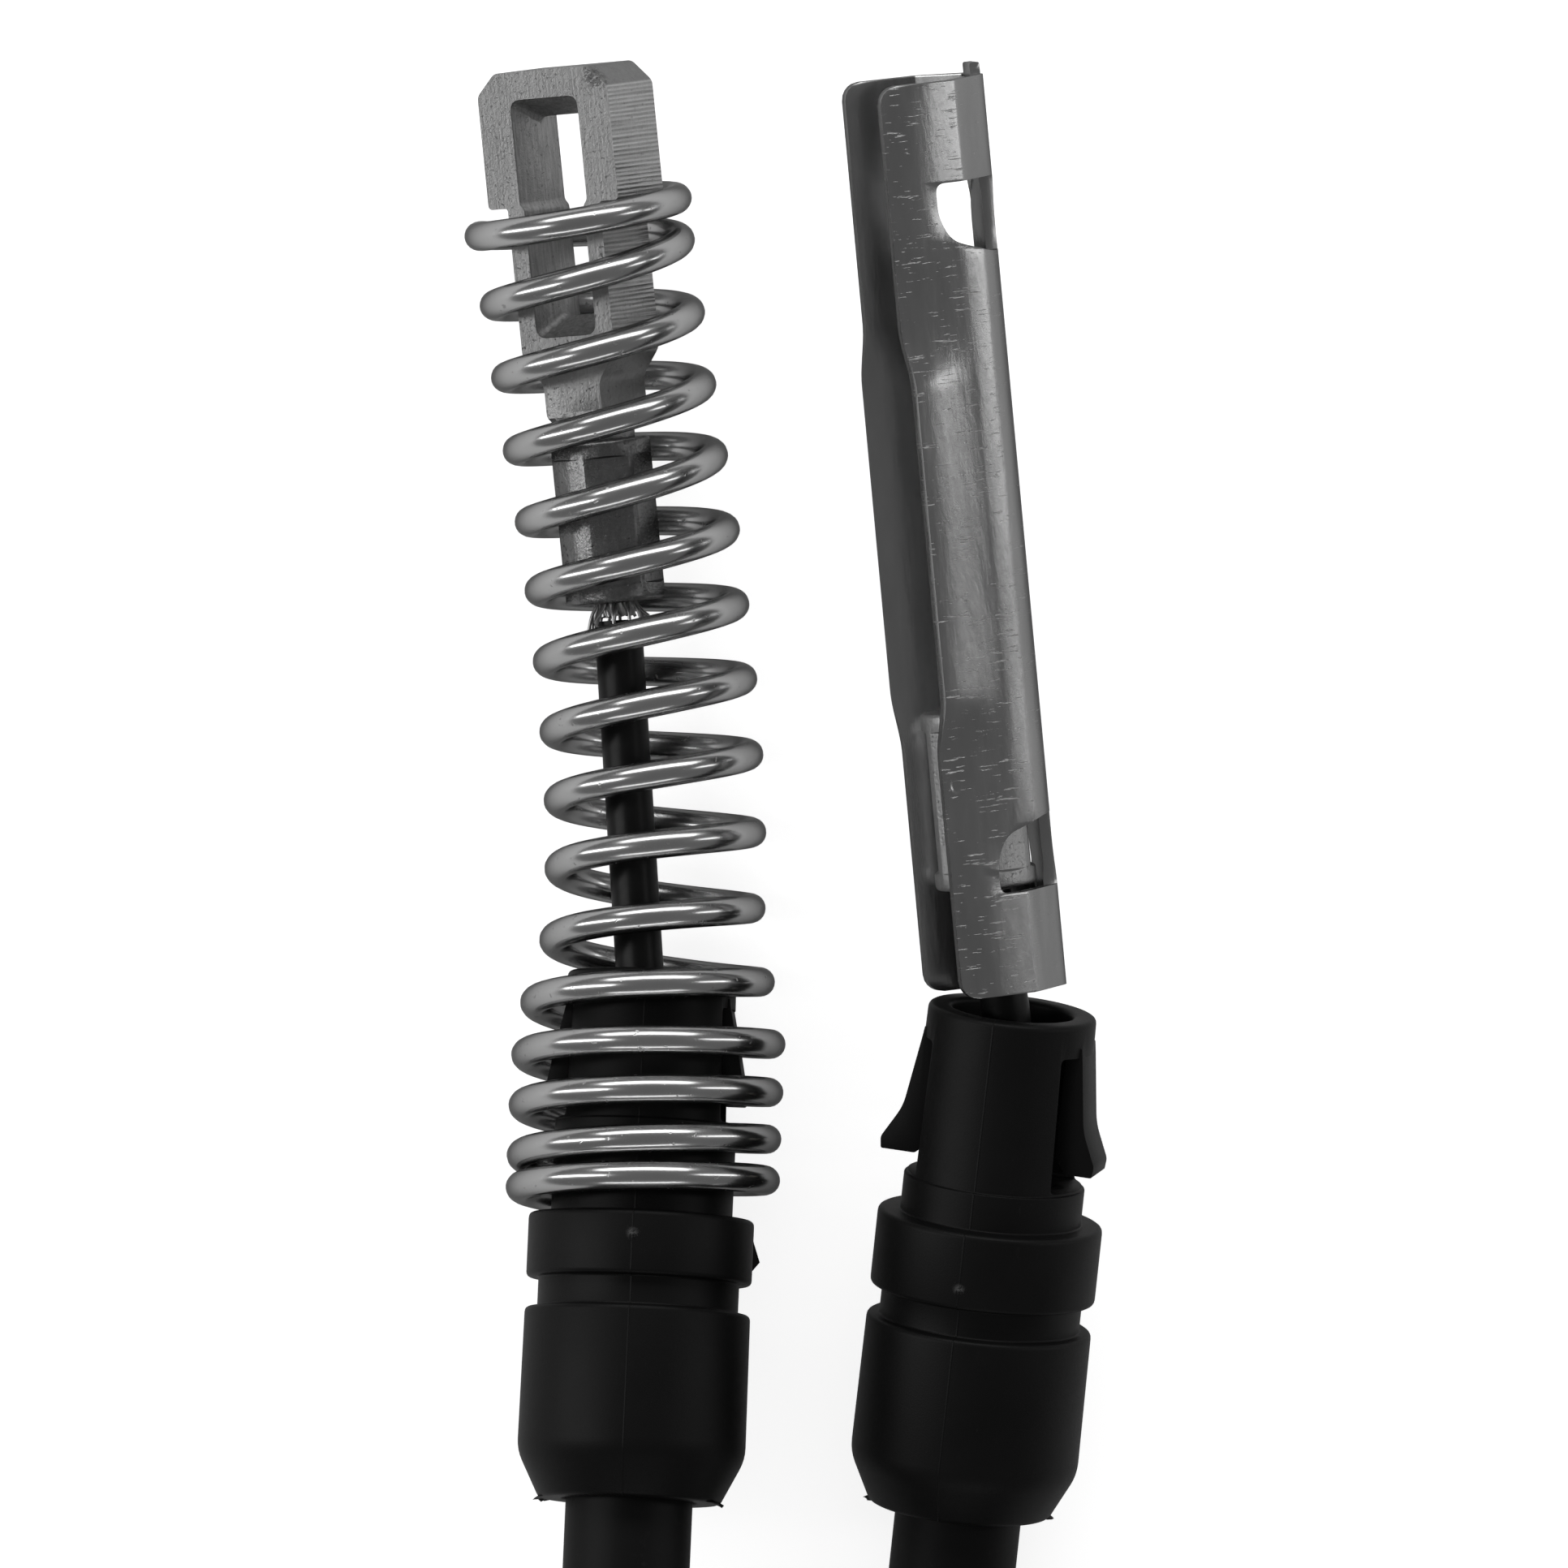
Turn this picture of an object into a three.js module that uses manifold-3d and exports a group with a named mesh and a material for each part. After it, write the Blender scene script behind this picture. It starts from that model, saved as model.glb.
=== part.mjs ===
// Parking brake cable: one sheathed cable with an eye and a return spring at its brake end
// and a channel connector at its lever end. The long conduit is coiled and tied.
// Millimetres, +Z up. The cable lies flat: +Y points from the conduit to the cable's two ends.
import * as THREE from 'three';
import { mergeVertices } from 'three/addons/utils/BufferGeometryUtils.js';
import Module from 'manifold-3d';

const wasm = await Module();
wasm.setup();

// Driving dimensions

const running_gap = 0.3;

const conduit_diameter = 9.8;
const inner_cable_diameter = 3.7;
const strand_diameter = 2.8;

const bore_radius = 4.7;
const liner_outer_radius = 3.1;
const liner_bore_radius = 2.25;
const fitting_segments = 32;

// Each fitting's lengths are counted along its axis from its mouth, where the inner cable leaves
const brake_fitting_sizes = {
  window_top: 2.6,
  window_width: 6.2,
  prong_foot: 9.9,
  prong_reach: 7.65,
  boss_top: 11.6,
  collar_top: 18.8,
  collar_height: 5.0,
  wide_bore_depth: 29.6,
  key_reach: 9.4,
  key_angle: 0.35,
};
const lever_fitting_sizes = {
  window_top: 2.6,
  window_width: 8.2,
  prong_foot: 11.8,
  prong_reach: 8.8,
  boss_top: 13.4,
  collar_top: 16.3,
  collar_height: 6.0,
  wide_bore_depth: 11.0,
};
const mouth_radius = 6.5;
const shell_radius = 6.75;
const boss_radius = 7.0;
const collar_radius = 8.7;
const groove_radius = 7.75;
const groove_height = 2.3;
const body_height = 11.1;
const cone_height = 3.6;
const tail_radius = 7.0;
const prong_width = 4.6;
const prong_root_thickness = 1.3;
const socket_length = 5.2;

const wire_diameter = 2.3;
const spring_radius = 7.45;
const flare_radius = 9.45;
const top_coil_radius = 7.8;
const closed_pitch = 2.5;
const coil_pitch = 5.8;
const flare_pitch = 4.2;
const plain_turns = 10;
const spring_steps_per_turn = 18;
const spring_start = THREE.MathUtils.degToRad(60);

const eye_thickness = 6.4;
const eye_bevel = 0.3;
const head_width = 12.0;
const head_bottom = 31.0;
const head_top = 41.5;
const head_chamfer = 1.7;
const shank_width = 8.5;
const shank_bottom = 19.3;
const neck_width = 5.1;
const neck_top = 17.2;
const neck_bottom = 14.6;
const slot_bottom = 20.8;
const slot_top = 39.3;
const slot_width_head = 6.2;
const slot_width_shank = 5.5;
const slot_draft = 0.5;
const slot_end_draft = 1.5;

const barrel_radius = 3.85;
const barrel_length = 12.6;
const barrel_flats = 7.0;
const crimp_margin = 0.9;
const strand_depth = 10.5;
const strand_showing = 1.1;

const sheet = 0.9;
const channel_length = 70.5;
const channel_depth = 9.5;
const channel_half_height = 5.1;
const channel_mid_opening = 0.9;
const neck_length = 7.8;
const window_length = 5.7;
const window_reach = 5.7;
const strap_width = 3.1;
const joggle_start = 18.6;
const joggle_end = 23.4;
const tip_round = 1.4;

const stop_radius = 3.9;
const stop_flats = 7.1;
const stop_length = 13.7;

const brake_travel = 25;
const lever_stub_depth = 33;

const coil_mean_radius = 49;
const coil_layers = 3;
const tie_thickness = 1.1;
const tie_width = 4.5;

// Where the pieces lie, on a plan whose middle is near the two ends' middle
const brake_mouth = new THREE.Vector3(-10.22, -13.69, 10.3);
const brake_lean = THREE.MathUtils.degToRad(-2.5);
const brake_pitch = THREE.MathUtils.degToRad(-5);
const brake_fitting_roll = THREE.MathUtils.degToRad(-4);
const cable_lean = THREE.MathUtils.degToRad(3.58);
const cable_pitch = THREE.MathUtils.degToRad(-3);
const cable_mouth_offset = -0.95;
const cable_showing = 27.3;
const eye_lean = THREE.MathUtils.degToRad(5.7);
const eye_pitch = THREE.MathUtils.degToRad(2.4);
const eye_roll = THREE.MathUtils.degToRad(-33);

const lever_mouth = new THREE.Vector3(17.56, -16.38, 15.2);
const lever_lean = THREE.MathUtils.degToRad(-6.1);
const lever_pitch = THREE.MathUtils.degToRad(10);
const lever_fitting_roll = THREE.MathUtils.degToRad(-12.4);
const channel_lean = THREE.MathUtils.degToRad(5.3);
const channel_pitch = THREE.MathUtils.degToRad(5);
const channel_roll = THREE.MathUtils.degToRad(16.5);
const channel_foot = new THREE.Vector3(16.75, -14.85, 15.35);

// Materials
const finish = (color, roughness, metalness) => (
  new THREE.MeshStandardMaterial({ color, roughness, metalness })
);
const black_nylon = finish(0x17181a, 0.5, 0);
const cast_steel = finish(0x8b8b8b, 0.45, 0.9);
const bright_zinc = finish(0xb9b9bb, 0.22, 1);
const plated_sheet = finish(0x8f8f90, 0.35, 0.9);
const bare_wire = finish(0xa5a5a5, 0.4, 1);
const liner_plastic = finish(0xd9d7cf, 0.5, 0);

// Shape helpers

// A three.js geometry becomes a solid that can be cut and joined
function solid(geometry) {
  const plain = geometry.clone();
  plain.deleteAttribute('normal');
  plain.deleteAttribute('uv');
  const merged = mergeVertices(plain, 1e-4);
  const index = merged.index;
  return new wasm.Manifold(new wasm.Mesh({
    numProp: 3,
    vertProperties: new Float32Array(merged.attributes.position.array),
    triVerts: new Uint32Array(index.array),
  }));
}

function geometryOf(manifold) {
  const mesh = manifold.getMesh();
  const geometry = new THREE.BufferGeometry();
  geometry.setAttribute('position', new THREE.BufferAttribute(mesh.vertProperties, 3));
  geometry.setIndex(new THREE.BufferAttribute(mesh.triVerts, 1));
  geometry.computeVertexNormals();
  return geometry;
}

function lathe(profile, segments) {
  const points = profile.map(([radius, y]) => new THREE.Vector2(radius, y));
  return new THREE.LatheGeometry(points, segments);
}

// A closed ring of wall between an outer and an inner profile, both given from the top down
function hollowLathe(outer, inner, segments) {
  return lathe([...outer, ...[...inner].reverse(), outer[0]].reverse(), segments);
}

// A box given by its two corners
function block(x0, y0, z0, x1, y1, z1) {
  const box = new THREE.BoxGeometry(x1 - x0, y1 - y0, z1 - z0);
  return box.translate((x0 + x1) / 2, (y0 + y1) / 2, (z0 + z1) / 2);
}

function shapeOf(points) {
  return new THREE.Shape(points.map(([x, y]) => new THREE.Vector2(x, y)));
}

// Rings of equal count joined into one closed body; every ring is a closed outline in order
function loft(rings) {
  const count = rings[0].length;
  const positions = rings.flat().flatMap((p) => [p.x, p.y, p.z]);
  const faces = [];
  for (let i = 0; i < rings.length - 1; i += 1) {
    for (let j = 0; j < count; j += 1) {
      const a = i * count + j;
      const b = i * count + (j + 1) % count;
      faces.push(a, b, a + count, b, b + count, a + count);
    }
  }
  const capOf = (ring) => {
    const origin = ring[0];
    const along = ring[1].clone().sub(origin).normalize();
    const normal = new THREE.Vector3();
    ring.forEach((p, j) => normal.add(p.clone().sub(origin).cross(
      ring[(j + 1) % count].clone().sub(origin),
    )));
    normal.normalize();
    const across = normal.clone().cross(along);
    const flat = ring.map((p) => {
      const d = p.clone().sub(origin);
      return new THREE.Vector2(d.dot(along), d.dot(across));
    });
    return THREE.ShapeUtils.triangulateShape(flat, []);
  };
  const last = (rings.length - 1) * count;
  capOf(rings[0]).forEach(([a, b, c]) => faces.push(a, c, b));
  capOf(rings[rings.length - 1]).forEach(([a, b, c]) => faces.push(last + a, last + b, last + c));
  const geometry = new THREE.BufferGeometry();
  geometry.setAttribute('position', new THREE.Float32BufferAttribute(positions, 3));
  geometry.setIndex(faces);
  geometry.computeVertexNormals();
  return geometry;
}

// A solid made by loft comes out either way round, so it is turned to point outwards
function solidLoft(rings) {
  const signedVolume = (geometry) => {
    const p = geometry.attributes.position;
    const corner = (i) => new THREE.Vector3().fromBufferAttribute(p, geometry.index.getX(i));
    let volume = 0;
    for (let i = 0; i < geometry.index.count; i += 3) {
      volume += corner(i).dot(corner(i + 1).cross(corner(i + 2)));
    }
    return volume;
  };
  const geometry = loft(rings);
  return signedVolume(geometry) > 0 ? geometry : loft([...rings].reverse());
}

// A round bar along a curve, closed at both ends
function bar(curve, radius, steps, sides) {
  const section = new THREE.Shape();
  for (let i = 0; i < sides; i += 1) {
    const turn = (i / sides) * 2 * Math.PI;
    const x = radius * Math.cos(turn);
    const y = radius * Math.sin(turn);
    if (i === 0) section.moveTo(x, y);
    else section.lineTo(x, y);
  }
  section.closePath();
  return new THREE.ExtrudeGeometry(section, { steps, extrudePath: curve });
}

function addPiece(group, name, geometry, material) {
  const mesh = new THREE.Mesh(geometry, material);
  mesh.name = name;
  group.add(mesh);
  return mesh;
}

// A group whose +Y axis leans to -X by lean, tips towards +Z by pitch and turns by roll
function placedGroup(position, lean, pitch, roll) {
  const group = new THREE.Group();
  group.position.copy(position);
  group.rotation.set(pitch, roll, lean, 'ZXY');
  group.updateMatrixWorld(true);
  return group;
}

const directionOf = (lean, pitch) => (
  new THREE.Vector3(0, 1, 0).applyEuler(new THREE.Euler(pitch, 0, lean, 'ZXY'))
);

// Conduit fitting: one moulding, with its mouth at y = 0 and its tail at -length

const fittingLength = (sizes) => (
  sizes.collar_top + sizes.collar_height + groove_height + body_height + cone_height
);

function fittingGeometry(sizes) {
  const collar_bottom = sizes.collar_top + sizes.collar_height;
  const groove_bottom = collar_bottom + groove_height;
  const body_bottom = groove_bottom + body_height;
  const length = body_bottom + cone_height;
  const socket_top = length - socket_length;
  const seat_radius = liner_outer_radius + running_gap;
  const socket_radius = conduit_diameter / 2 + running_gap;
  const edge = 0.35;
  const outer = [
    [mouth_radius - edge, 0],
    [mouth_radius, -edge],
    [shell_radius, -sizes.boss_top],
    [boss_radius - edge, -sizes.boss_top],
    [boss_radius, -sizes.boss_top - edge],
    [boss_radius, -sizes.collar_top],
    [collar_radius - edge, -sizes.collar_top],
    [collar_radius, -sizes.collar_top - edge],
    [collar_radius, -collar_bottom + edge],
    [collar_radius - edge, -collar_bottom],
    [groove_radius, -collar_bottom],
    [groove_radius, -groove_bottom],
    [collar_radius - edge, -groove_bottom],
    [collar_radius, -groove_bottom - edge],
    [collar_radius + 0.1, -body_bottom + edge],
    [collar_radius - edge, -body_bottom],
    [tail_radius, -length],
  ];
  const inner = [
    [bore_radius + edge, 0],
    [bore_radius, -edge],
    [bore_radius, -sizes.wide_bore_depth],
    [seat_radius, -sizes.wide_bore_depth - 1.2],
    [seat_radius, -socket_top],
    [socket_radius, -socket_top],
    [socket_radius, -length],
  ];
  let fitting = solid(hollowLathe(outer, inner, fitting_segments));
  const window_bottom = sizes.boss_top - 0.2;
  for (const side of [-1, 1]) {
    const half = sizes.window_width / 2;
    const opening = block(
      Math.min(0, side * 12), -window_bottom, -half, Math.max(0, side * 12), -sizes.window_top, half,
    );
    fitting = fitting.subtract(solid(opening));
  }
  for (const side of [-1, 1]) fitting = fitting.add(prong(sizes, side));
  if (sizes.key_reach) fitting = fitting.add(collarKey(sizes));
  return geometryOf(fitting);
}

// A snap prong: rooted above its window, it flares to a flat foot that snaps behind the plate
function prong(sizes, side) {
  const root_inner = bore_radius + 0.35;
  const foot = -sizes.prong_foot;
  const top = -sizes.window_top + 0.7;
  const flare_start = -sizes.window_top - 0.62 * (sizes.prong_foot - sizes.window_top);
  const outline = shapeOf([
    [root_inner, top],
    [root_inner, foot + 1.2],
    [root_inner + 0.9, foot],
    [sizes.prong_reach - 0.15, foot],
    [sizes.prong_reach, foot + 0.9],
    [shell_radius + 0.55, flare_start],
    [root_inner + prong_root_thickness, -sizes.window_top],
    [root_inner + prong_root_thickness - 0.1, top],
  ]);
  const shape = new THREE.ExtrudeGeometry(outline, { depth: prong_width, bevelEnabled: false });
  shape.translate(0, 0, -prong_width / 2);
  if (side < 0) shape.rotateY(Math.PI);
  return solid(shape);
}

// A small wedge key that stands out of the collar, at its back and right
function collarKey(sizes) {
  const top = -sizes.collar_top - 0.8;
  const outline = shapeOf([
    [collar_radius - 1, top],
    [collar_radius - 0.1, top],
    [sizes.key_reach, top - 2.2],
    [collar_radius - 0.1, top - 3.2],
    [collar_radius - 1, top - 3.2],
  ]);
  const key = new THREE.ExtrudeGeometry(outline, { depth: 1.6, bevelEnabled: false });
  key.translate(0, 0, -0.8);
  return solid(key.rotateY(sizes.key_angle));
}

// The liner's end, from just below the wide bore to just short of the conduit's cut end
function linerGeometry(sizes) {
  const top = -sizes.wide_bore_depth + 0.4;
  const bottom = -fittingLength(sizes) + socket_length;
  const outer = [[liner_outer_radius, top], [liner_outer_radius, bottom]];
  const inner = [[liner_bore_radius, top], [liner_bore_radius, bottom]];
  return hollowLathe(outer, inner, 20);
}

// Crimped barrel, its mouth at y = 0: a turned body with a hex crimp pressed into it
function crimpBarrel(radius, flats, length, bore, bore_depth) {
  const edge = 0.4;
  const bore_end = bore_depth < length
    ? [[0, length], [0, bore_depth], [bore, bore_depth]]
    : [[bore, length]];
  let barrel = solid(lathe([
    [bore, 0],
    [radius - edge, 0],
    [radius, edge],
    [radius, length - edge],
    [radius - edge, length],
    ...bore_end,
    [bore, 0],
  ], 32));
  const half = flats / 2;
  for (let i = 0; i < 6; i += 1) {
    const press = solid(solidLoft([
      facet(half, -3, crimp_margin + 0.5, length - crimp_margin - 0.5),
      facet(half + 1, -3, crimp_margin + 0.1, length - crimp_margin - 0.1),
    ]).rotateY((i * Math.PI) / 3));
    barrel = barrel.subtract(press);
  }
  return barrel;
}

// One rectangle of the crimp die's jaw, facing +Z at the height z
function facet(z, x0, y0, y1) {
  return [
    new THREE.Vector3(x0, y0, z),
    new THREE.Vector3(-x0, y0, z),
    new THREE.Vector3(-x0, y1, z),
    new THREE.Vector3(x0, y1, z),
  ];
}

// Eye: plate with head, shank and neck, a drafted slot, and the crimp barrel below
function eyeGeometry() {
  const w = (width) => width / 2 - eye_bevel;
  const side = [
    [w(neck_width), neck_bottom],
    [w(neck_width), neck_top],
    [w(shank_width), shank_bottom],
    [w(shank_width), head_bottom + eye_bevel],
    [w(head_width), head_bottom + eye_bevel],
    [w(head_width), head_top - head_chamfer],
    [w(head_width) - head_chamfer, head_top - eye_bevel],
  ];
  const mirrored = [...side].reverse().map(([x, y]) => [-x, y]);
  const plate = new THREE.ExtrudeGeometry(shapeOf([...side, ...mirrored]), {
    depth: eye_thickness - 2 * eye_bevel,
    bevelThickness: eye_bevel,
    bevelSize: eye_bevel,
    bevelSegments: 1,
  });
  plate.translate(0, 0, -eye_thickness / 2 + eye_bevel);
  const corners = 24;
  const ring = (y, radiusAt) => Array.from({ length: corners }, (_, i) => {
    const turn = (i / corners) * 2 * Math.PI;
    const radius = radiusAt(turn);
    return new THREE.Vector3(radius * Math.sin(turn), y, radius * Math.cos(turn));
  });
  const neckRadius = (turn) => Math.min(
    neck_width / 2 / Math.max(Math.abs(Math.sin(turn)), 1e-6),
    (eye_thickness / 2) / Math.max(Math.abs(Math.cos(turn)), 1e-6),
  );
  const waist = solidLoft([
    ring(barrel_length - 0.5, () => 2.7),
    ring(barrel_length + 0.5, () => 2.75),
    ring(neck_bottom, neckRadius),
    ring(neck_bottom + 0.4, neckRadius),
  ]);
  const bore = strand_diameter / 2 + running_gap;
  const barrel = crimpBarrel(
    barrel_radius, barrel_flats, barrel_length, bore, strand_depth + running_gap,
  );
  return geometryOf(
    solid(plate).add(solid(waist)).add(barrel).subtract(solid(slotGeometry())),
  );
}

// The slot's tool: widest at both faces and narrowest at mid thickness, with rounded corners
function slotGeometry() {
  const corner = 0.8;
  const outline = (z, grow, ends) => {
    const low = slot_bottom + ends;
    const high = slot_top - ends;
    const bottom = slot_width_shank / 2 - grow;
    const top = slot_width_head / 2 - grow;
    return [
      [-bottom + corner, low],
      [bottom - corner, low],
      [bottom, low + corner],
      [(top + bottom) / 2, head_bottom],
      [top, high - corner],
      [top - corner, high],
      [-top + corner, high],
      [-top, high - corner],
      [-(top + bottom) / 2, head_bottom],
      [-bottom, low + corner],
    ].map(([x, y]) => new THREE.Vector3(x, y, z));
  };
  const face = eye_thickness / 2;
  const past = 0.4;
  const slope = past / face;
  return solidLoft([
    outline(-face - past, -slot_draft * slope, -slot_end_draft * slope),
    outline(0, slot_draft, slot_end_draft),
    outline(face + past, -slot_draft * slope, -slot_end_draft * slope),
  ]);
}

// Return spring: a helix on a bowed axis, flared where it sits on the fitting's collar
function springGeometry() {
  const axis = new THREE.CatmullRomCurve3([
    new THREE.Vector3(-10.98, -30.85, 11.82),
    new THREE.Vector3(-10.75, -24.2, 11.25),
    new THREE.Vector3(-10.1, -11, 10.1),
    new THREE.Vector3(-10.1, 1.0, 9.2),
    new THREE.Vector3(-11.5, 17.7, 8.95),
    new THREE.Vector3(-13.4, 30.0, 9.6),
    new THREE.Vector3(-15.8, 45.3, 10.6),
  ], false, 'centripetal');
  const length = axis.getLength();
  // Pitch by turn, counted from the top: closed, plain, flared, then closed on the collar
  const stages = [
    { turns: 1.0, pitch: closed_pitch },
    { turns: plain_turns, pitch: coil_pitch },
    { turns: 1.0, pitch: 4.75 },
    { turns: 2.8, pitch: flare_pitch },
    { turns: 0.95, pitch: closed_pitch },
  ];
  const turns = stages.reduce((sum, stage) => sum + stage.turns, 0);
  const dropAt = (turn) => {
    let left = turn;
    let drop = 0;
    for (const stage of stages) {
      const part = Math.min(left, stage.turns);
      drop += part * stage.pitch;
      left -= part;
    }
    return drop;
  };
  const stretch = length / dropAt(turns);
  const smooth = (x) => {
    const t = Math.min(Math.max(x, 0), 1);
    return t * t * (3 - 2 * t);
  };
  const radiusAt = (turn) => (
    spring_radius
    + (top_coil_radius - spring_radius) * (1 - smooth((turn - 0.5) / 1.0))
    + (flare_radius - spring_radius) * smooth((turn - plain_turns - 0.15) / 2.2)
  );
  class Helix extends THREE.Curve {
    getPoint(t, target = new THREE.Vector3()) {
      const turn = (1 - t) * turns;
      const share = 1 - (dropAt(turn) * stretch) / length;
      const centre = axis.getPointAt(THREE.MathUtils.clamp(share, 0, 1));
      const tangent = axis.getTangentAt(THREE.MathUtils.clamp(share, 0, 1));
      const right = new THREE.Vector3(1, 0, 0);
      right.addScaledVector(tangent, -right.dot(tangent)).normalize();
      const back = tangent.clone().cross(right);
      // The wire's top end lies behind the head, at the right
      const phase = spring_start - turn * 2 * Math.PI;
      const radius = radiusAt(turn);
      return target.copy(centre)
        .addScaledVector(right, radius * Math.cos(phase))
        .addScaledVector(back, radius * Math.sin(phase));
    }
  }
  return bar(new Helix(), wire_diameter / 2, Math.round(turns * spring_steps_per_turn), 8);
}
// Channel connector: a strip folded into a U that lies open to the left. Its two necks are
// pinched to a V, its middle is rounder and opened a little, and each neck has two windows.
function channelSection(y) {
  const from_end = Math.min(y, channel_length - y);
  const ease = (a, b) => {
    const t = Math.min(Math.max((from_end - a) / (b - a), 0), 1);
    return t * t * (3 - 2 * t);
  };
  const round = ease(neck_length, neck_length + window_length);
  const open = ease(joggle_start, joggle_end) * channel_mid_opening;
  const web_x = channel_depth / 2 - sheet / 2;
  const half = channel_half_height - sheet / 2;
  const tip_recess = from_end < tip_round
    ? tip_round - Math.sqrt(Math.max(0, tip_round ** 2 - (tip_round - from_end) ** 2))
    : 0;
  const tip_front = -channel_depth / 2 + tip_recess + open * 0.5;
  const tip_back = -channel_depth / 2 + tip_recess - open * 0.35;
  const shoulder = 0.2;
  const steps = 10;
  const web = Array.from({ length: steps + 1 }, (_, i) => {
    const s = i / steps;
    const turn = s * Math.PI;
    const soft = [
      shoulder + (web_x - shoulder) * Math.sin(turn) ** 0.8,
      half * Math.sign(Math.cos(turn)) * Math.abs(Math.cos(turn)) ** 0.9,
    ];
    const bend = 0.32;
    const flat_half = 1.5;
    let sharp;
    if (s < bend) {
      sharp = [
        1.0 + ((web_x - 1.0) * s) / bend,
        half - ((half - flat_half) * s) / bend,
      ];
    } else if (s > 1 - bend) {
      sharp = [
        1.0 + ((web_x - 1.0) * (1 - s)) / bend,
        -half + ((half - flat_half) * (1 - s)) / bend,
      ];
    } else {
      sharp = [web_x, flat_half - (2 * flat_half * (s - bend)) / (1 - 2 * bend)];
    }
    return [
      sharp[0] + (soft[0] - sharp[0]) * round,
      sharp[1] + (soft[1] - sharp[1]) * round,
    ];
  });
  const path = [
    [tip_front, half + open],
    [(tip_front + shoulder) / 2, half + open * 0.5],
    ...web,
    [(tip_back + shoulder) / 2, -half - open * 0.5],
    [tip_back, -half - open],
  ].map(([x, z]) => new THREE.Vector2(x, z));
  const offset = (amount) => path.map((p, i) => {
    const before = path[Math.max(i - 1, 0)];
    const after = path[Math.min(i + 1, path.length - 1)];
    const along = after.clone().sub(before).normalize();
    return new THREE.Vector3(p.x - along.y * amount, y, p.y + along.x * amount);
  });
  return [...offset(sheet / 2), ...offset(-sheet / 2).reverse()];
}

function channelGeometry() {
  const half_stations = [
    0, 0.25, 0.7, 1.4, neck_length, 9.2, 11, 12.4, neck_length + window_length,
    joggle_start, 19.8, 21, 22.2, joggle_end,
  ];
  const stations = [
    ...half_stations,
    ...[...half_stations].reverse().map((y) => channel_length - y),
  ];
  let channel = solid(solidLoft(stations.map(channelSection)));
  for (const top of [false, true]) {
    for (const front of [-1, 1]) channel = channel.subtract(solid(channelWindow(top, front)));
  }
  const nib = block(
    channel_depth / 2 - sheet + 0.02, channel_length - 0.6, -0.9,
    channel_depth / 2 - 0.02, channel_length + 0.9, 0.9,
  );
  return geometryOf(channel.add(solid(nib)));
}

// A window: straight across at the neck, rounded on its other side, open to the web's strap
function channelWindow(top, front) {
  const web_side = channel_depth / 2 + 2;
  const neck_edge = neck_length;
  const reach = channel_depth / 2 - window_reach;
  const far = neck_edge + window_length;
  const outline = new THREE.Shape();
  outline.moveTo(web_side, neck_edge);
  outline.lineTo(reach + 0.7, neck_edge);
  outline.quadraticCurveTo(reach, neck_edge, reach, neck_edge + 0.8);
  outline.lineTo(reach, neck_edge + 2.2);
  outline.quadraticCurveTo(reach + 0.6, far - 0.9, channel_depth / 2 - 1.2, far);
  outline.lineTo(web_side, far);
  const depth = channel_half_height * 2;
  const tool = new THREE.ExtrudeGeometry(outline, {
    depth,
    bevelEnabled: false,
    curveSegments: 5,
  });
  tool.translate(0, 0, front > 0 ? strap_width / 2 : -strap_width / 2 - depth);
  if (top) {
    tool.rotateX(Math.PI);
    tool.translate(0, channel_length, 0);
  }
  return tool;
}

// Build: the brake end

const whole = new THREE.Group();
const ends = new THREE.Group();
whole.add(ends);

const brake_fitting = placedGroup(brake_mouth, brake_lean, brake_pitch, brake_fitting_roll);
ends.add(brake_fitting);
addPiece(brake_fitting, 'brake_end_fitting', fittingGeometry(brake_fitting_sizes), black_nylon);
addPiece(brake_fitting, 'brake_end_liner', linerGeometry(brake_fitting_sizes), liner_plastic);

// The inner cable's line crosses the mouth a little left of the middle
const cable_direction = directionOf(cable_lean, cable_pitch);
const cable_mouth = brake_mouth.clone().add(new THREE.Vector3(cable_mouth_offset, 0, 0));
const cable_top = cable_mouth.clone().addScaledVector(cable_direction, cable_showing);
const cable_stub_depth = 3;
const cable_foot = cable_mouth.clone().addScaledVector(cable_direction, -cable_stub_depth);
addPiece(
  ends,
  'brake_end_inner_cable',
  bar(new THREE.LineCurve3(cable_foot, cable_top), inner_cable_diameter / 2, 4, 16),
  black_nylon,
);

const eye_direction = directionOf(eye_lean, eye_pitch);
const eye_foot = cable_top.clone().addScaledVector(eye_direction, 0.45 + strand_showing);
const eye = placedGroup(eye_foot, eye_lean, eye_pitch, eye_roll);
ends.add(eye);
addPiece(eye, 'brake_end_eye', eyeGeometry(), cast_steel);
const strand = lathe([
  [0, -strand_showing],
  [strand_diameter / 2, -strand_showing],
  [strand_diameter / 2, strand_depth],
  [0, strand_depth],
], 16);
addPiece(eye, 'brake_end_strand', strand, bare_wire);

addPiece(ends, 'return_spring', springGeometry(), bright_zinc);

// Build: the lever end

const lever_fitting = placedGroup(lever_mouth, lever_lean, lever_pitch, lever_fitting_roll);
ends.add(lever_fitting);
addPiece(lever_fitting, 'lever_end_fitting', fittingGeometry(lever_fitting_sizes), black_nylon);
addPiece(lever_fitting, 'lever_end_liner', linerGeometry(lever_fitting_sizes), liner_plastic);

const channel = placedGroup(channel_foot, channel_lean, channel_pitch, channel_roll);
ends.add(channel);
addPiece(channel, 'connector_channel', channelGeometry(), plated_sheet);

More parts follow.
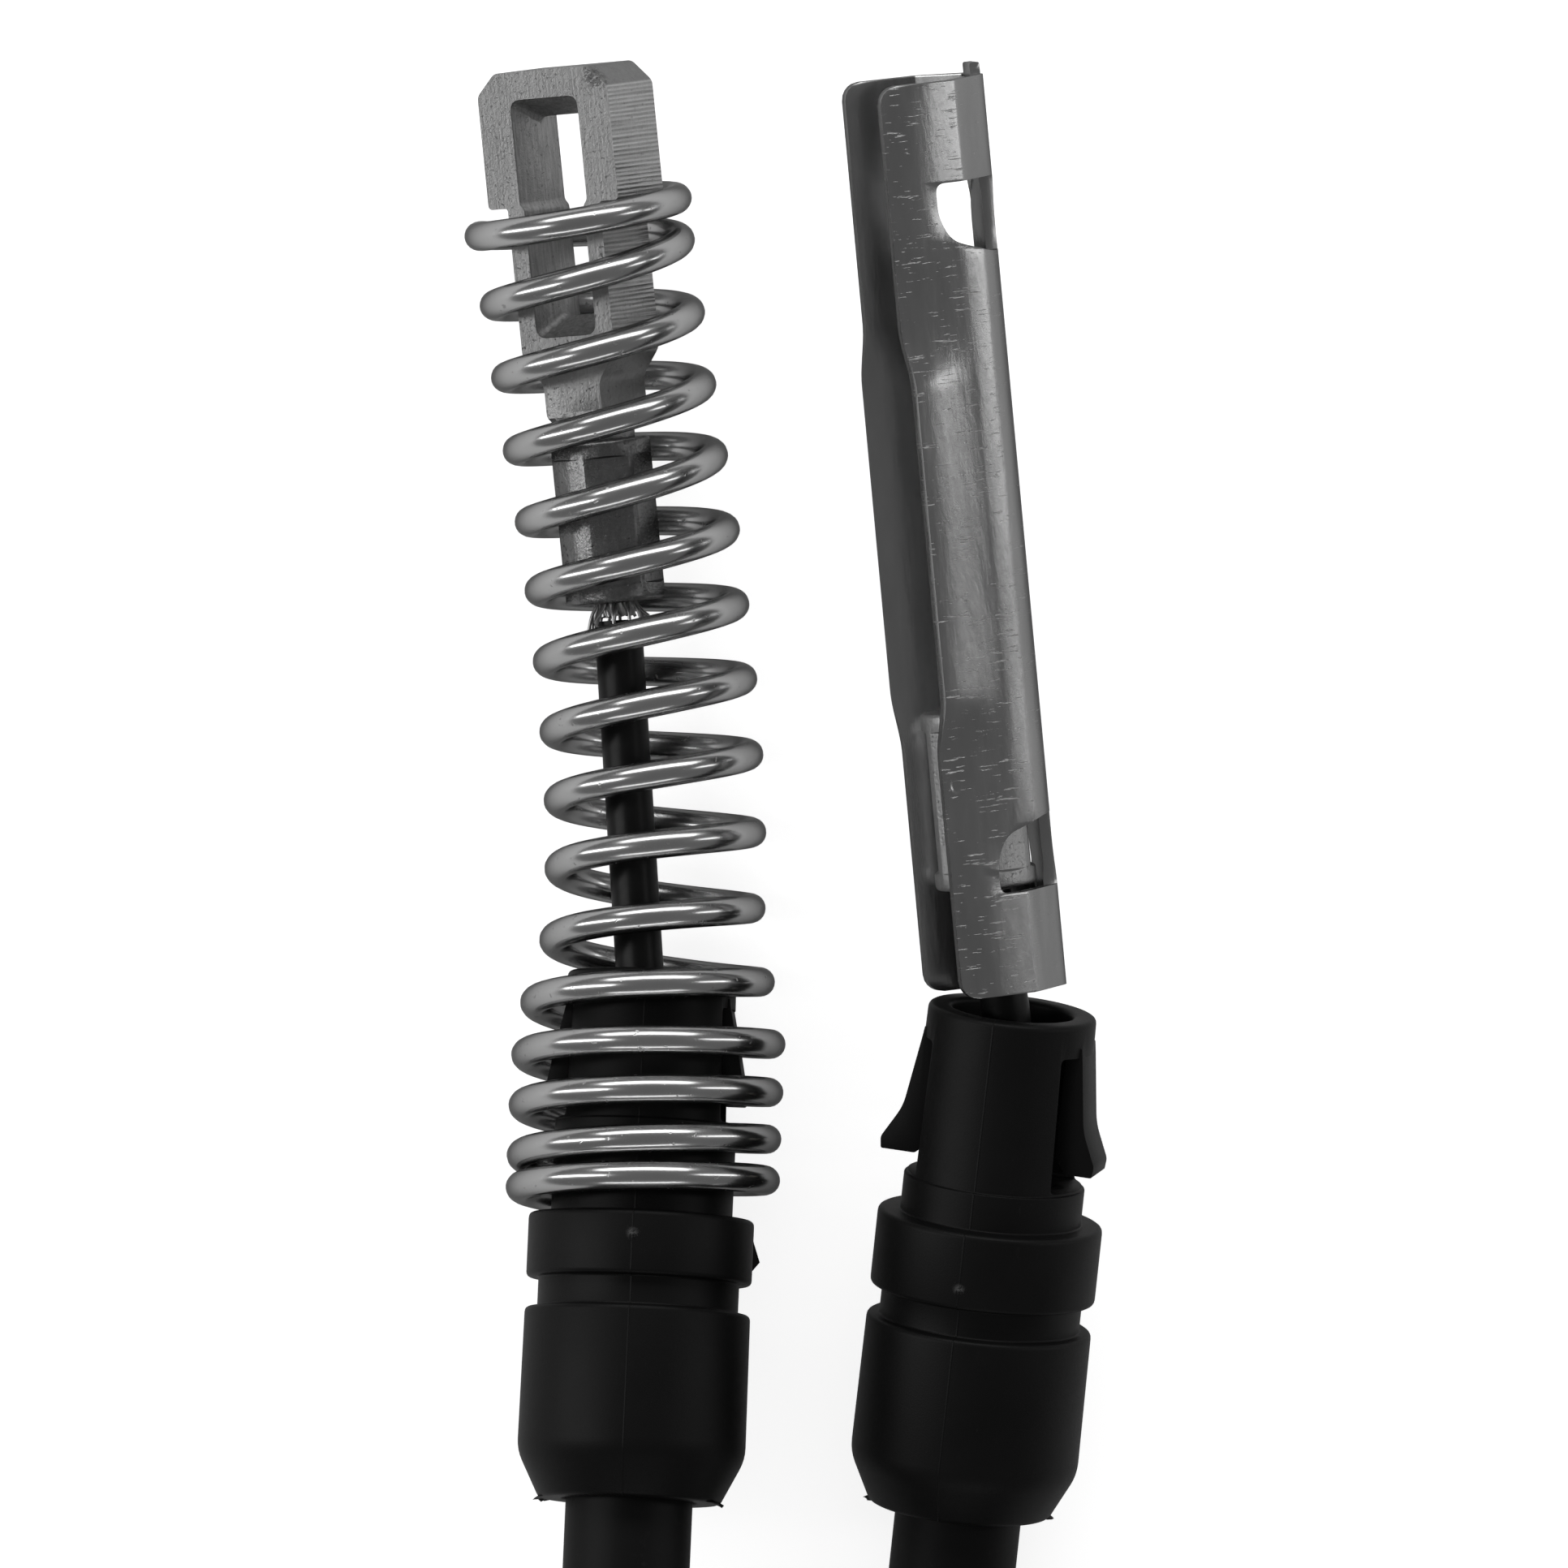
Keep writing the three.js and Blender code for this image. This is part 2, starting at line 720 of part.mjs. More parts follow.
// The barrel stop rests on the lower neck, where the V's edges stand under its end
const stop_foot = new THREE.Vector3(-0.5, neck_length + running_gap, 0);
const stop_bore = strand_diameter / 2 + running_gap;
const stop = crimpBarrel(stop_radius, stop_flats, stop_length, stop_bore, stop_length);
const stop_group = new THREE.Group();
stop_group.position.copy(stop_foot);
stop_group.rotation.y = THREE.MathUtils.degToRad(12);
channel.add(stop_group);
addPiece(stop_group, 'barrel_stop', geometryOf(stop), cast_steel);
const stop_strand = lathe([
  [0, 0],
  [strand_diameter / 2, 0],
  [strand_diameter / 2, stop_length - 1],
  [0, stop_length - 1],
], 16);
addPiece(stop_group, 'lever_end_strand', stop_strand, bare_wire);

// The lever end's inner cable: straight in its fitting, bent where it meets the barrel stop
const lever_direction = directionOf(lever_lean, lever_pitch);
const channel_direction = directionOf(channel_lean, channel_pitch);
channel.updateMatrixWorld(true);
const stop_foot_world = channel.localToWorld(stop_foot.clone());
const along_lever = (depth) => lever_mouth.clone().addScaledVector(lever_direction, -depth);
const below_stop = (drop) => stop_foot_world.clone().addScaledVector(channel_direction, -drop);
const lever_cable_path = new THREE.CatmullRomCurve3([
  along_lever(lever_stub_depth),
  along_lever(24),
  along_lever(15),
  along_lever(9),
  along_lever(5.5),
  along_lever(1).lerp(below_stop(9.5), 0.35),
  below_stop(4),
  below_stop(2),
  below_stop(running_gap),
], false, 'centripetal');
addPiece(
  ends,
  'lever_end_inner_cable',
  bar(lever_cable_path, inner_cable_diameter / 2, 24, 12),
  black_nylon,
);

// The ends stand on z = 0, and the origin is under the middle of their box
whole.updateMatrixWorld(true);
const ends_box = new THREE.Box3().setFromObject(ends, true);
const ends_middle = ends_box.getCenter(new THREE.Vector3());
const shift = new THREE.Vector3(-ends_middle.x, -ends_middle.y, -ends_box.min.z);
ends.position.copy(shift);

// Build: the conduit, which leaves both fittings and is stored in a tied coil beyond them

const cord = new THREE.Group();
whole.add(cord);

const conduit_radius = conduit_diameter / 2;
const coil_lift = tie_thickness + running_gap;
const layerHeight = (layer) => coil_lift + conduit_radius + layer * conduit_diameter;
const joining_angle = THREE.MathUtils.degToRad(126);
const leaving_angle = THREE.MathUtils.degToRad(54);
const coil_middle = new THREE.Vector3(shift.x, shift.y - 136, 0);

const onCoil = (angle, height) => new THREE.Vector3(
  coil_middle.x + coil_mean_radius * Math.cos(angle),
  coil_middle.y + coil_mean_radius * Math.sin(angle),
  height,
);

// From a fitting's socket straight out of its tail, then in one bend on to the coil
function runCurve(mouth, direction, sizes, coil_point, coil_tangent) {
  const length = fittingLength(sizes);
  const at = (depth) => mouth.clone().add(shift).addScaledVector(direction, -depth);
  const handle = 13;
  const bend_start = at(length + 11);
  const bend = new THREE.CubicBezierCurve3(
    bend_start,
    at(length + 11 + handle),
    coil_point.clone().addScaledVector(coil_tangent, -handle),
    coil_point,
  );
  const bend_points = [1, 2, 3, 4, 5, 6].map((i) => bend.getPoint((i / 6) * 0.84));
  const socket_top = length - socket_length + running_gap;
  return new THREE.CatmullRomCurve3([
    at(socket_top), at(length), at(length + 6), bend_start, ...bend_points,
  ], false, 'centripetal');
}

// The stored turns are one ring; grown is the room kept round it
function coilRing(grown) {
  const inner = coil_mean_radius - conduit_radius - grown;
  const outer = coil_mean_radius + conduit_radius + grown;
  const low = coil_lift - grown;
  const high = coil_lift + coil_layers * conduit_diameter + grown;
  const ring = lathe([[inner, low], [outer, low], [outer, high], [inner, high], [inner, low]], 48);
  return ring.rotateX(Math.PI / 2).translate(coil_middle.x, coil_middle.y, 0);
}

const coil_room = solid(coilRing(running_gap));
const conduitRun = (curve) => geometryOf(solid(bar(curve, conduit_radius, 10, 12)).subtract(coil_room));

const brake_run = runCurve(
  brake_mouth,
  directionOf(brake_lean, brake_pitch),
  brake_fitting_sizes,
  onCoil(joining_angle, layerHeight(coil_layers - 1)),
  new THREE.Vector3(-Math.sin(joining_angle), Math.cos(joining_angle), 0),
);
const lever_run = runCurve(
  lever_mouth,
  directionOf(lever_lean, lever_pitch),
  lever_fitting_sizes,
  onCoil(leaving_angle, layerHeight(0)),
  new THREE.Vector3(Math.sin(leaving_angle), -Math.cos(leaving_angle), 0),
);
addPiece(cord, 'conduit_brake_end_run', conduitRun(brake_run), black_nylon);
addPiece(cord, 'conduit_lever_end_run', conduitRun(lever_run), black_nylon);
addPiece(cord, 'conduit_coil', coilRing(0), black_nylon);

// A tie is a closed band round all the coil's layers
function tieGeometry(angle) {
  const gap = running_gap + 0.1;
  const inner_half = conduit_radius + gap;
  const outer_half = inner_half + tie_thickness;
  const inner_low = coil_lift - running_gap;
  const inner_high = coil_lift + coil_layers * conduit_diameter + running_gap;
  const band = roundedOutline(
    outer_half, inner_low - tie_thickness, inner_high + tie_thickness, 2.2, THREE.Shape,
  );
  band.holes.push(roundedOutline(inner_half, inner_low, inner_high, 0.2, THREE.Path));
  const tie = new THREE.ExtrudeGeometry(band, {
    depth: tie_width,
    bevelEnabled: false,
    curveSegments: 3,
  });
  tie.translate(0, 0, -tie_width / 2);
  tie.rotateX(Math.PI / 2);
  tie.translate(coil_mean_radius, 0, 0);
  tie.rotateZ(angle);
  return tie.translate(coil_middle.x, coil_middle.y, 0);
}

function roundedOutline(half, low, high, corner, Kind) {
  const outline = new Kind();
  outline.moveTo(-half + corner, low);
  outline.lineTo(half - corner, low);
  outline.quadraticCurveTo(half, low, half, low + corner);
  outline.lineTo(half, high - corner);
  outline.quadraticCurveTo(half, high, half - corner, high);
  outline.lineTo(-half + corner, high);
  outline.quadraticCurveTo(-half, high, -half, high - corner);
  outline.lineTo(-half, low + corner);
  outline.quadraticCurveTo(-half, low, -half + corner, low);
  return outline;
}

addPiece(cord, 'coil_tie_left', tieGeometry(THREE.MathUtils.degToRad(200)), black_nylon);
addPiece(cord, 'coil_tie_right', tieGeometry(THREE.MathUtils.degToRad(340)), black_nylon);

export default whole;
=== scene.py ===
"""Parking brake cable, lying flat, seen from straight above.

Lengths are millimetres in each piece's own frame: +Y along its axis, +Z towards the camera.
"""
import math
import random

import bmesh
import bpy
from mathutils import Matrix, Vector


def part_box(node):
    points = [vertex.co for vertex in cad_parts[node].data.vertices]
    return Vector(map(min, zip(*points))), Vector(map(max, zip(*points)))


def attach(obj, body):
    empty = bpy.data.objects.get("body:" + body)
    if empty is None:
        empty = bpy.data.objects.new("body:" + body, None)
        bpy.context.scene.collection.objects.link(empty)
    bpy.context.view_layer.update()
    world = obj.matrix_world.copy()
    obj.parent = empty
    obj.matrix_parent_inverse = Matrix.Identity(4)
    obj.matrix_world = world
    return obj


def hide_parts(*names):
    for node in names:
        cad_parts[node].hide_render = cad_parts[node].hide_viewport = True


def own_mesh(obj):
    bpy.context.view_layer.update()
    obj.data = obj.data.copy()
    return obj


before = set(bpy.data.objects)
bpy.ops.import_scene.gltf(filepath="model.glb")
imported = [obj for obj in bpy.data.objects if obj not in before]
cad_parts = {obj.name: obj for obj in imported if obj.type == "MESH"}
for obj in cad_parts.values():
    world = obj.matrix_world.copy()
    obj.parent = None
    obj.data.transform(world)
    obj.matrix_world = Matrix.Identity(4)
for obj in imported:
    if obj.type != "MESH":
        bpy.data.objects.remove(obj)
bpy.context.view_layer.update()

MM = 0.001


# ---- where the pieces lie, on the plan that the CAD model uses

def turned(lean, pitch, roll=0.0):
    """Turns a piece's own frame: leans to -X, tips up by pitch, rolls about its axis."""
    return (
        Matrix.Rotation(math.radians(lean), 4, "Z")
        @ Matrix.Rotation(math.radians(pitch), 4, "X")
        @ Matrix.Rotation(math.radians(roll), 4, "Y")
    )


def axis_of(lean, pitch):
    return (turned(lean, pitch) @ Vector((0, 1, 0, 0))).to_3d()


running_gap = 0.3
conduit_diameter = 9.8
inner_cable_diameter = 3.7
exposed_cable, cable_inside = 27.3, 3
strand_gap, bare_strand = 0.45, 1.1

brake_mouth = Vector((-10.22, -13.69, 10.3))
brake_turn = turned(-2.5, -5, -4)
brake_axis = axis_of(-2.5, -5)
cable_axis = axis_of(3.58, -3)
cable_mouth = brake_mouth + Vector((-0.95, 0, 0))
cable_top = cable_mouth + cable_axis * exposed_cable
cable_foot = cable_mouth - cable_axis * cable_inside
eye_turn = turned(5.7, 2.4, -33)
eye_axis = axis_of(5.7, 2.4)
eye_foot = cable_top + eye_axis * (strand_gap + bare_strand)

lever_mouth = Vector((17.56, -16.38, 15.2))
lever_turn = turned(-6.1, 10, -12.4)
lever_axis = axis_of(-6.1, 10)
channel_foot = Vector((16.75, -14.85, 15.35))
channel_turn = turned(5.3, 5, 16.5)
channel_axis = axis_of(5.3, 5)

low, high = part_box("brake_end_inner_cable")
plan_shift = (low + high) / 2 / MM - (cable_foot + cable_top) / 2


def placed(position, turn):
    """From a piece's own frame in millimetres to the row frame in metres."""
    return (
        Matrix.Scale(MM, 4)
        @ Matrix.Translation(position + plan_shift)
        @ turn
    )


on_plan = placed(Vector((0, 0, 0)), Matrix.Identity(4))


# ---- camera, floor and light

view_middle = on_plan @ Vector((-0.06, 0.97, 10))
view_width = 0.12099
camera_data = bpy.data.cameras.new("view")
camera = bpy.data.objects.new("view", camera_data)
bpy.context.scene.collection.objects.link(camera)
bpy.context.scene.camera = camera
camera_height = 2.4
camera.location = (view_middle.x, view_middle.y, camera_height)
camera_data.sensor_width = 36
camera_data.lens = camera_data.sensor_width * (camera_height - view_middle.z) / view_width
camera_data.clip_start = 0.05
camera_data.clip_end = 20


class Wire:
    """One shader value; sums on it become Math nodes in its own finish."""

    def __init__(self, finish, socket):
        self.finish = finish
        self.socket = socket

    def math(self, operation, *values):
        return self.finish.node("ShaderNodeMath", {"operation": operation}, dict(enumerate(values)))

    def __add__(self, other):
        return self.math("ADD", self, other)

    __radd__ = __add__

    def __mul__(self, other):
        return self.math("MULTIPLY", self, other)

    def __sub__(self, other):
        return self.math("SUBTRACT", self, other)

    def __rsub__(self, other):
        return self.math("SUBTRACT", other, self)

    def __abs__(self):
        return self.math("ABSOLUTE", self)

    def over(self, other):
        return self.math("GREATER_THAN", self, other)

    def clamped(self):
        return self.math("MINIMUM", self.math("MAXIMUM", self, 0.0), 1.0)

    def ramp(self, start, end):
        """0 below start, 1 above end, and smooth between."""
        return self.finish.node(
            "ShaderNodeMapRange", {"interpolation_type": "SMOOTHSTEP"},
            {"Value": self, "From Min": start, "From Max": end, "To Min": 0.0, "To Max": 1.0},
        )


class Finish:
    """A material with a Principled shader, written as expressions."""

    def __init__(self, name, **constants):
        self.material = bpy.data.materials.new(name)
        self.material.use_nodes = True
        self.tree = self.material.node_tree
        self.shader = self.tree.nodes["Principled BSDF"]
        for socket, value in constants.items():
            self.shader.inputs[socket.replace("_", " ")].default_value = value

    def node(self, kind, settings, inputs, output=0):
        made = self.tree.nodes.new(kind)
        for name, value in settings.items():
            setattr(made, name, value)
        for name, value in inputs.items():
            if isinstance(value, Wire):
                self.tree.links.new(value.socket, made.inputs[name])
            else:
                made.inputs[name].default_value = value
        return Wire(self, made.outputs[output])

    def place(self, matrix=None):
        """Object coordinates in metres, or those of a piece's own frame in millimetres."""
        coordinates = self.node("ShaderNodeTexCoord", {}, {}, "Object")
        if matrix is None:
            return coordinates
        location, rotation, scale = matrix.decompose()
        return self.node(
            "ShaderNodeMapping", {"vector_type": "TEXTURE"},
            {"Vector": coordinates, "Location": location, "Rotation": rotation.to_euler(), "Scale": scale},
        )

    def axes(self, vector):
        split = self.node("ShaderNodeSeparateXYZ", {}, {"Vector": vector}, "X")
        outputs = split.socket.node.outputs
        return split, Wire(self, outputs["Y"]), Wire(self, outputs["Z"])

    def stretched(self, vector, x, y, z):
        return self.node("ShaderNodeVectorMath", {"operation": "MULTIPLY"}, {0: vector, 1: (x, y, z)})

    def noise(self, vector, scale, detail=3.0, roughness=0.5):
        return self.node(
            "ShaderNodeTexNoise", {},
            {"Vector": vector, "Scale": scale, "Detail": detail, "Roughness": roughness}, "Fac",
        )

    def distance(self, vector, point):
        return self.node("ShaderNodeVectorMath", {"operation": "DISTANCE"}, {0: vector, 1: point}, "Value")

    def facing(self, direction):
        """1 where the surface faces along direction, either way."""
        normal = self.node("ShaderNodeNewGeometry", {}, {}, "Normal")
        dot = self.node(
            "ShaderNodeVectorMath", {"operation": "DOT_PRODUCT"}, {0: normal, 1: direction}, "Value",
        )
        return abs(dot)

    def grey(self, value):
        """A neutral colour from one value."""
        return self.node("ShaderNodeCombineColor", {}, {"Red": value, "Green": value, "Blue": value})

    def tint(self, factor, first, second):
        return self.node(
            "ShaderNodeMix", {"data_type": "RGBA"}, {0: factor, 6: (*first, 1), 7: (*second, 1)}, 2,
        )

    def bump(self, height, distance, strength=1.0):
        return self.node(
            "ShaderNodeBump", {}, {"Height": height, "Distance": distance, "Strength": strength}, "Normal",
        )

    def feed(self, **values):
        for socket, value in values.items():
            self.tree.links.new(value.socket, self.shader.inputs[socket.replace("_", " ")])
        return self.material


def studio_floor():
    """A pale floor that is white to the camera, and keeps the cable's soft shadow."""
    floor_finish = Finish("pale_floor", Roughness=0.9)
    floor_finish.shader.inputs["Base Color"].default_value = (0.8, 0.8, 0.8, 1)
    path = floor_finish.node("ShaderNodeLightPath", {}, {}, "Is Camera Ray")
    outputs = path.socket.node.outputs
    seen = (path + Wire(floor_finish, outputs["Is Glossy Ray"]) * 0.12).clamped()
    white = floor_finish.node("ShaderNodeEmission", {}, {"Color": (1, 1, 1, 1), "Strength": seen * 0.8})
    both = floor_finish.node(
        "ShaderNodeAddShader", {},
        {0: white, 1: Wire(floor_finish, floor_finish.shader.outputs[0])},
    )
    out = floor_finish.tree.nodes["Material Output"]
    floor_finish.tree.links.new(both.socket, out.inputs["Surface"])
    mesh = bpy.data.meshes.new("floor")
    reach, below = 1.2, -0.0004
    corners = [(x * reach, y * reach, below) for x, y in ((-1, -1), (1, -1), (1, 1), (-1, 1))]
    mesh.from_pydata(corners, [], [(0, 1, 2, 3)])
    mesh.materials.append(floor_finish.material)
    floor = bpy.data.objects.new("floor", mesh)
    bpy.context.scene.collection.objects.link(floor)


def softbox(name, position, width, height, power):
    """A rectangular lamp, aimed at the frame's origin."""
    light_data = bpy.data.lights.new(name, "AREA")
    light_data.shape = "RECTANGLE"
    light_data.size = width
    light_data.size_y = height
    light_data.energy = power
    light = bpy.data.objects.new(name, light_data)
    bpy.context.scene.collection.objects.link(light)
    light.location = position
    aim = Vector((0, 0, 0)) - Vector(position)
    light.rotation_euler = aim.to_track_quat("-Z", "Y").to_euler()


def studio_world():
    world = bpy.data.worlds.new("studio")
    bpy.context.scene.world = world
    world.use_nodes = True
    nodes = world.node_tree.nodes
    links = world.node_tree.links
    background = nodes["Background"]
    path = nodes.new("ShaderNodeLightPath")
    seen = nodes.new("ShaderNodeMath")
    seen.operation = "MULTIPLY_ADD"
    links.new(path.outputs["Is Camera Ray"], seen.inputs[0])
    seen.inputs[1].default_value = 0.84
    seen.inputs[2].default_value = 0.16
    links.new(seen.outputs[0], background.inputs["Strength"])
    background.inputs["Color"].default_value = (1, 1, 1, 1)


studio_floor()
studio_world()
softbox("far_side", (0.0, 0.75, 0.62), 1.3, 0.34, 4.6)
softbox("near_side", (0.0, -0.8, 0.42), 0.8, 0.10, 0.7)
softbox("left_side", (-0.75, 0.05, 0.5), 0.12, 0.8, 2.1)
softbox("right_side", (0.95, 0.1, 0.4), 0.12, 0.8, 0.95)
bpy.context.scene.view_settings.view_transform = "Standard"


# ---- finishes

nylon_frame_brake = placed(brake_mouth, brake_turn)
nylon_frame_lever = placed(lever_mouth, lever_turn)


def moulded_nylon(name, own_frame):
    """Black nylon with a fine mould grain and a faint parting seam along its front."""
    made = Finish(name, Metallic=0.0, Specular_IOR_Level=0.14)
    place = made.place(own_frame)
    x, _, z = made.axes(place)
    cloud = made.noise(place, 0.22, 4.0, 0.6)
    grain = made.noise(place, 9.0, 3.0, 0.6)
    scuff = made.noise(made.stretched(place, 1.0, 0.25, 1.0), 1.6, 6.0, 0.75).ramp(0.6, 0.76)
    seam = (0.09 - abs(x)).ramp(0.0, 0.09) * z.over(0.0)
    gate = made.distance(place, (0, -20.7, 8.7))
    torn = made.noise(place, 1.9, 4.0, 0.75)
    gate_mark = (1.0 - (gate + torn * 1.1).ramp(0.75, 1.15)) * z.over(0.0)
    tone = 0.0034 + cloud * 0.0024 + scuff * 0.004 + gate_mark * torn.ramp(0.42, 0.6) * 0.09
    return made.feed(
        Base_Color=made.grey(tone),
        Roughness=0.40 + cloud * 0.12 + scuff * 0.12,
        Normal=made.bump(grain * 0.35 + seam * 0.9 + scuff * 0.1 + gate_mark * torn * 3.0, 0.00006, 0.55),
    )


def conduit_sheath():
    """Extruded black sheath, a little duller and dusty in streaks along it."""
    made = Finish("conduit_sheath", Metallic=0.0, Specular_IOR_Level=0.13)
    place = made.place()
    cloud = made.noise(place, 90.0, 4.0, 0.6)
    speck = made.noise(place, 900.0, 3.0, 0.6)
    dust = speck.ramp(0.6, 0.75) * cloud.ramp(0.35, 0.7)
    return made.feed(
        Base_Color=made.grey(0.0038 + cloud * 0.003 + dust * 0.008),
        Roughness=0.42 + cloud * 0.14 + dust * 0.1,
        Normal=made.bump(cloud * 0.6 + speck * 0.25, 0.0001, 0.5),
    )


def cable_coating():
    """Thin black coating over the inner cable, with a fine grain."""
    made = Finish("cable_coating", Metallic=0.0, Specular_IOR_Level=0.18)
    place = made.place()
    speck = made.noise(place, 700.0, 3.0, 0.6)
    return made.feed(
        Base_Color=made.grey(0.0035 + speck * 0.003),
        Roughness=0.3 + speck * 0.15,
        Normal=made.bump(speck, 0.00004, 0.4),
    )


def bright_zinc():
    """Drawn spring wire with a bright plating, and fine pits where the coating is thin."""
    made = Finish("bright_zinc", Metallic=1.0, Specular_Tint=(0.25, 0.25, 0.25, 1))
    place = made.place()
    cloud = made.noise(place, 160.0, 4.0, 0.6)
    pits = made.noise(place, 1500.0, 2.0, 0.7).ramp(0.66, 0.76)
    return made.feed(
        Base_Color=made.grey(0.50 + cloud * 0.12 - pits * 0.15),
        Roughness=0.17 + cloud * 0.09 + pits * 0.2,
        Normal=made.bump(cloud * 0.5 - pits * 0.4, 0.00005, 0.5),
    )


def forged_steel(name, own_frame, burnish_and_painted_reflection, lift):
    """Plated forging: gritty faces, cutter lines on the sawn sides, and a burnished crimp whose colour is
    painted darker, a painted dark reflection.
    """
    made = Finish(name, Metallic=0.9, Specular_Tint=(0.4, 0.4, 0.4, 1))
    place = made.place(own_frame)
    x, y, z = made.axes(place)
    sideways = (eye_turn @ Vector((1, 0, 0, 0))).to_3d()
    side = made.facing(sideways).ramp(0.8, 0.95) * y.over(14.6) * abs(x).over(3.7)
    # crimp mask: lower roughness for a real burnish, and darker colour as a painted dark reflection on the
    # barrel's facets
    crimp = (1.0 - y.ramp(12.4, 13.4)) * burnish_and_painted_reflection
    cloud = made.noise(place, 0.5, 5.0, 0.65)
    pits = made.noise(place, 3.4, 4.0, 0.7).ramp(0.6, 0.7)
    grit = made.noise(place, 4.5, 3.0, 0.7)
    ridges = y.math("SINE", y * 19.0) * made.noise(place, 0.9, 2.0, 0.6)
    strokes = made.noise(made.stretched(place, 0.12, 3.0, 0.12), 1.0, 2.0, 0.6)
    cutter = side * (strokes + ridges * 0.35)
    drawn = made.noise(made.stretched(place, 4.0, 0.35, 4.0), 1.0, 3.0, 0.6)
    corner = made.distance(place, (5.2, 40.8, 3.2))
    chip = (1.0 - corner.ramp(0.6, 1.5)) * made.noise(place, 2.6, 3.0, 0.7).ramp(0.45, 0.55)
    inside = (3.25 - abs(x)).over(0.0) * (3.05 - abs(z)).over(0.0) * y.over(19.5)
    tone = lift + cloud * 0.14 + grit * 0.14 + drawn * 0.1 + inside * (drawn * 0.4 - 0.1)
    tone = tone + cutter * 0.5 - side * 0.05
    return made.feed(
        # crimp * 0.13 darkens the crimp's colour: painted dark reflection
        Base_Color=made.grey(tone - pits * 0.09 - crimp * 0.13 - chip * 0.14),
        Roughness=0.34 + cloud * 0.14 + pits * 0.15 - crimp * 0.2,
        Normal=made.bump(
            cutter * 1.8 + cloud * 0.5 + grit * 0.5 - pits * 0.6 + drawn * 0.4 - chip * 1.2, 0.0001, 0.75,
        ),
    )


def plated_sheet():
    """Folded plated sheet: soft mirror, with fine scratches across it where the die slid."""
    made = Finish("plated_sheet", Metallic=0.95, Specular_Tint=(0.3, 0.3, 0.3, 1))
    place = made.place(placed(channel_foot, channel_turn))
    _, _, z = made.axes(place)
    cloud = made.noise(made.stretched(place, 0.6, 0.12, 0.6), 1.0, 4.0, 0.6)
    scratches = made.noise(made.stretched(place, 0.45, 5.0, 0.45), 1.0, 3.0, 0.7).ramp(0.6, 0.7)
    patches = made.noise(place, 0.5, 2.0, 0.5).ramp(0.4, 0.55)
    fine = made.noise(place, 6.0, 3.0, 0.6)
    marks = scratches * patches * z.over(2.5)
    stake = made.distance(made.stretched(place, 1.0, 0.65, 1.0), (-3.7, 10.8, 5.2))
    dimple = stake.ramp(0.3, 0.55)
    return made.feed(
        Base_Color=made.grey(0.30 + cloud * 0.12 + marks * 0.14),
        Roughness=0.20 + cloud * 0.10 + marks * 0.15,
        Normal=made.bump(cloud * 0.8 - marks * 0.4 + fine * 0.04 + dimple * 1.1, 0.00012, 0.5),
    )


def bare_wire():
    made = Finish("bare_wire", Metallic=1.0)
    place = made.place()
    speck = made.noise(place, 2500.0, 2.0, 0.6)
    return made.feed(Base_Color=made.grey(0.35 + speck * 0.3), Roughness=0.3 + speck * 0.15)


def liner_plastic():
    made = Finish("liner_plastic", Metallic=0.0)
    place = made.place()
    speck = made.noise(place, 600.0, 2.0, 0.6)
    tone = made.tint(speck, (0.55, 0.53, 0.47), (0.68, 0.66, 0.6))
    return made.feed(Base_Color=tone, Roughness=0.42 + speck * 0.12)


nylon_brake = moulded_nylon("black_nylon_brake", nylon_frame_brake)
nylon_lever = moulded_nylon("black_nylon_lever", nylon_frame_lever)
sheath = conduit_sheath()
coating = cable_coating()
spring_zinc = bright_zinc()
steel = forged_steel("cast_steel", placed(eye_foot, eye_turn), 1.0, 0.14)
sheet_zinc = plated_sheet()
wire_steel = bare_wire()
liner_white = liner_plastic()


# ---- making and keeping pieces

def new_piece(name, vertices, faces, matrix, material):
    mesh = bpy.data.meshes.new(name)
    mesh.from_pydata([tuple(matrix @ Vector(v)) for v in vertices], [], faces)
    mesh.materials.append(material)
    piece = bpy.data.objects.new(name, mesh)
    bpy.context.scene.collection.objects.link(piece)
    outward(mesh)
    return piece


def outward(mesh):
    work = bmesh.new()
    work.from_mesh(mesh)
    bmesh.ops.remove_doubles(work, verts=work.verts, dist=1e-7)
    bmesh.ops.recalc_face_normals(work, faces=work.faces)
    work.to_mesh(mesh)
    work.free()


def settled(piece):
    """Turns live modifiers into plain mesh."""
    bpy.context.view_layer.update()
    graph = bpy.context.evaluated_depsgraph_get()
    mesh = bpy.data.meshes.new_from_object(piece.evaluated_get(graph))
    piece.modifiers.clear()
    piece.data = mesh
    return piece


def rounded_edges(piece, width, angle=32, segments=2):
    bevel = piece.modifiers.new("edges", "BEVEL")
    bevel.width = width * MM
    bevel.segments = segments
    bevel.limit_method = "ANGLE"
    bevel.angle_limit = math.radians(angle)
    bevel.use_clamp_overlap = True
    return settled(piece)


def smooth(piece, angle=38):
    mesh = piece.data
    mesh.shade_smooth()
    mesh.set_sharp_from_angle(angle=math.radians(angle))
    return piece


def cut_or_join(piece, others, operation):
    for other in others:
        modifier = piece.modifiers.new("cut", "BOOLEAN")
        modifier.operation = operation
        modifier.solver = "EXACT"
        modifier.object = other
        settled(piece)
        bpy.data.objects.remove(other)
    return piece


def keep(piece, body, slot, *nodes):
    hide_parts(*nodes)
    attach(piece, body)
    return piece


def turned_body(name, profile, matrix, material, segments=96):
    """A body of revolution about its own Y axis, from a closed profile of (radius, y)."""
    count = len(profile)
    vertices = []
    for i in range(segments):
        angle = 2 * math.pi * i / segments
        vertices += [(r * math.sin(angle), y, r * math.cos(angle)) for r, y in profile]
    faces = []
    for i in range(segments):
        here, beyond = i * count, (i + 1) % segments * count
        for j in range(count):
            k = (j + 1) % count
            faces.append((here + j, here + k, beyond + k, beyond + j))
    return new_piece(name, vertices, faces, matrix, material)


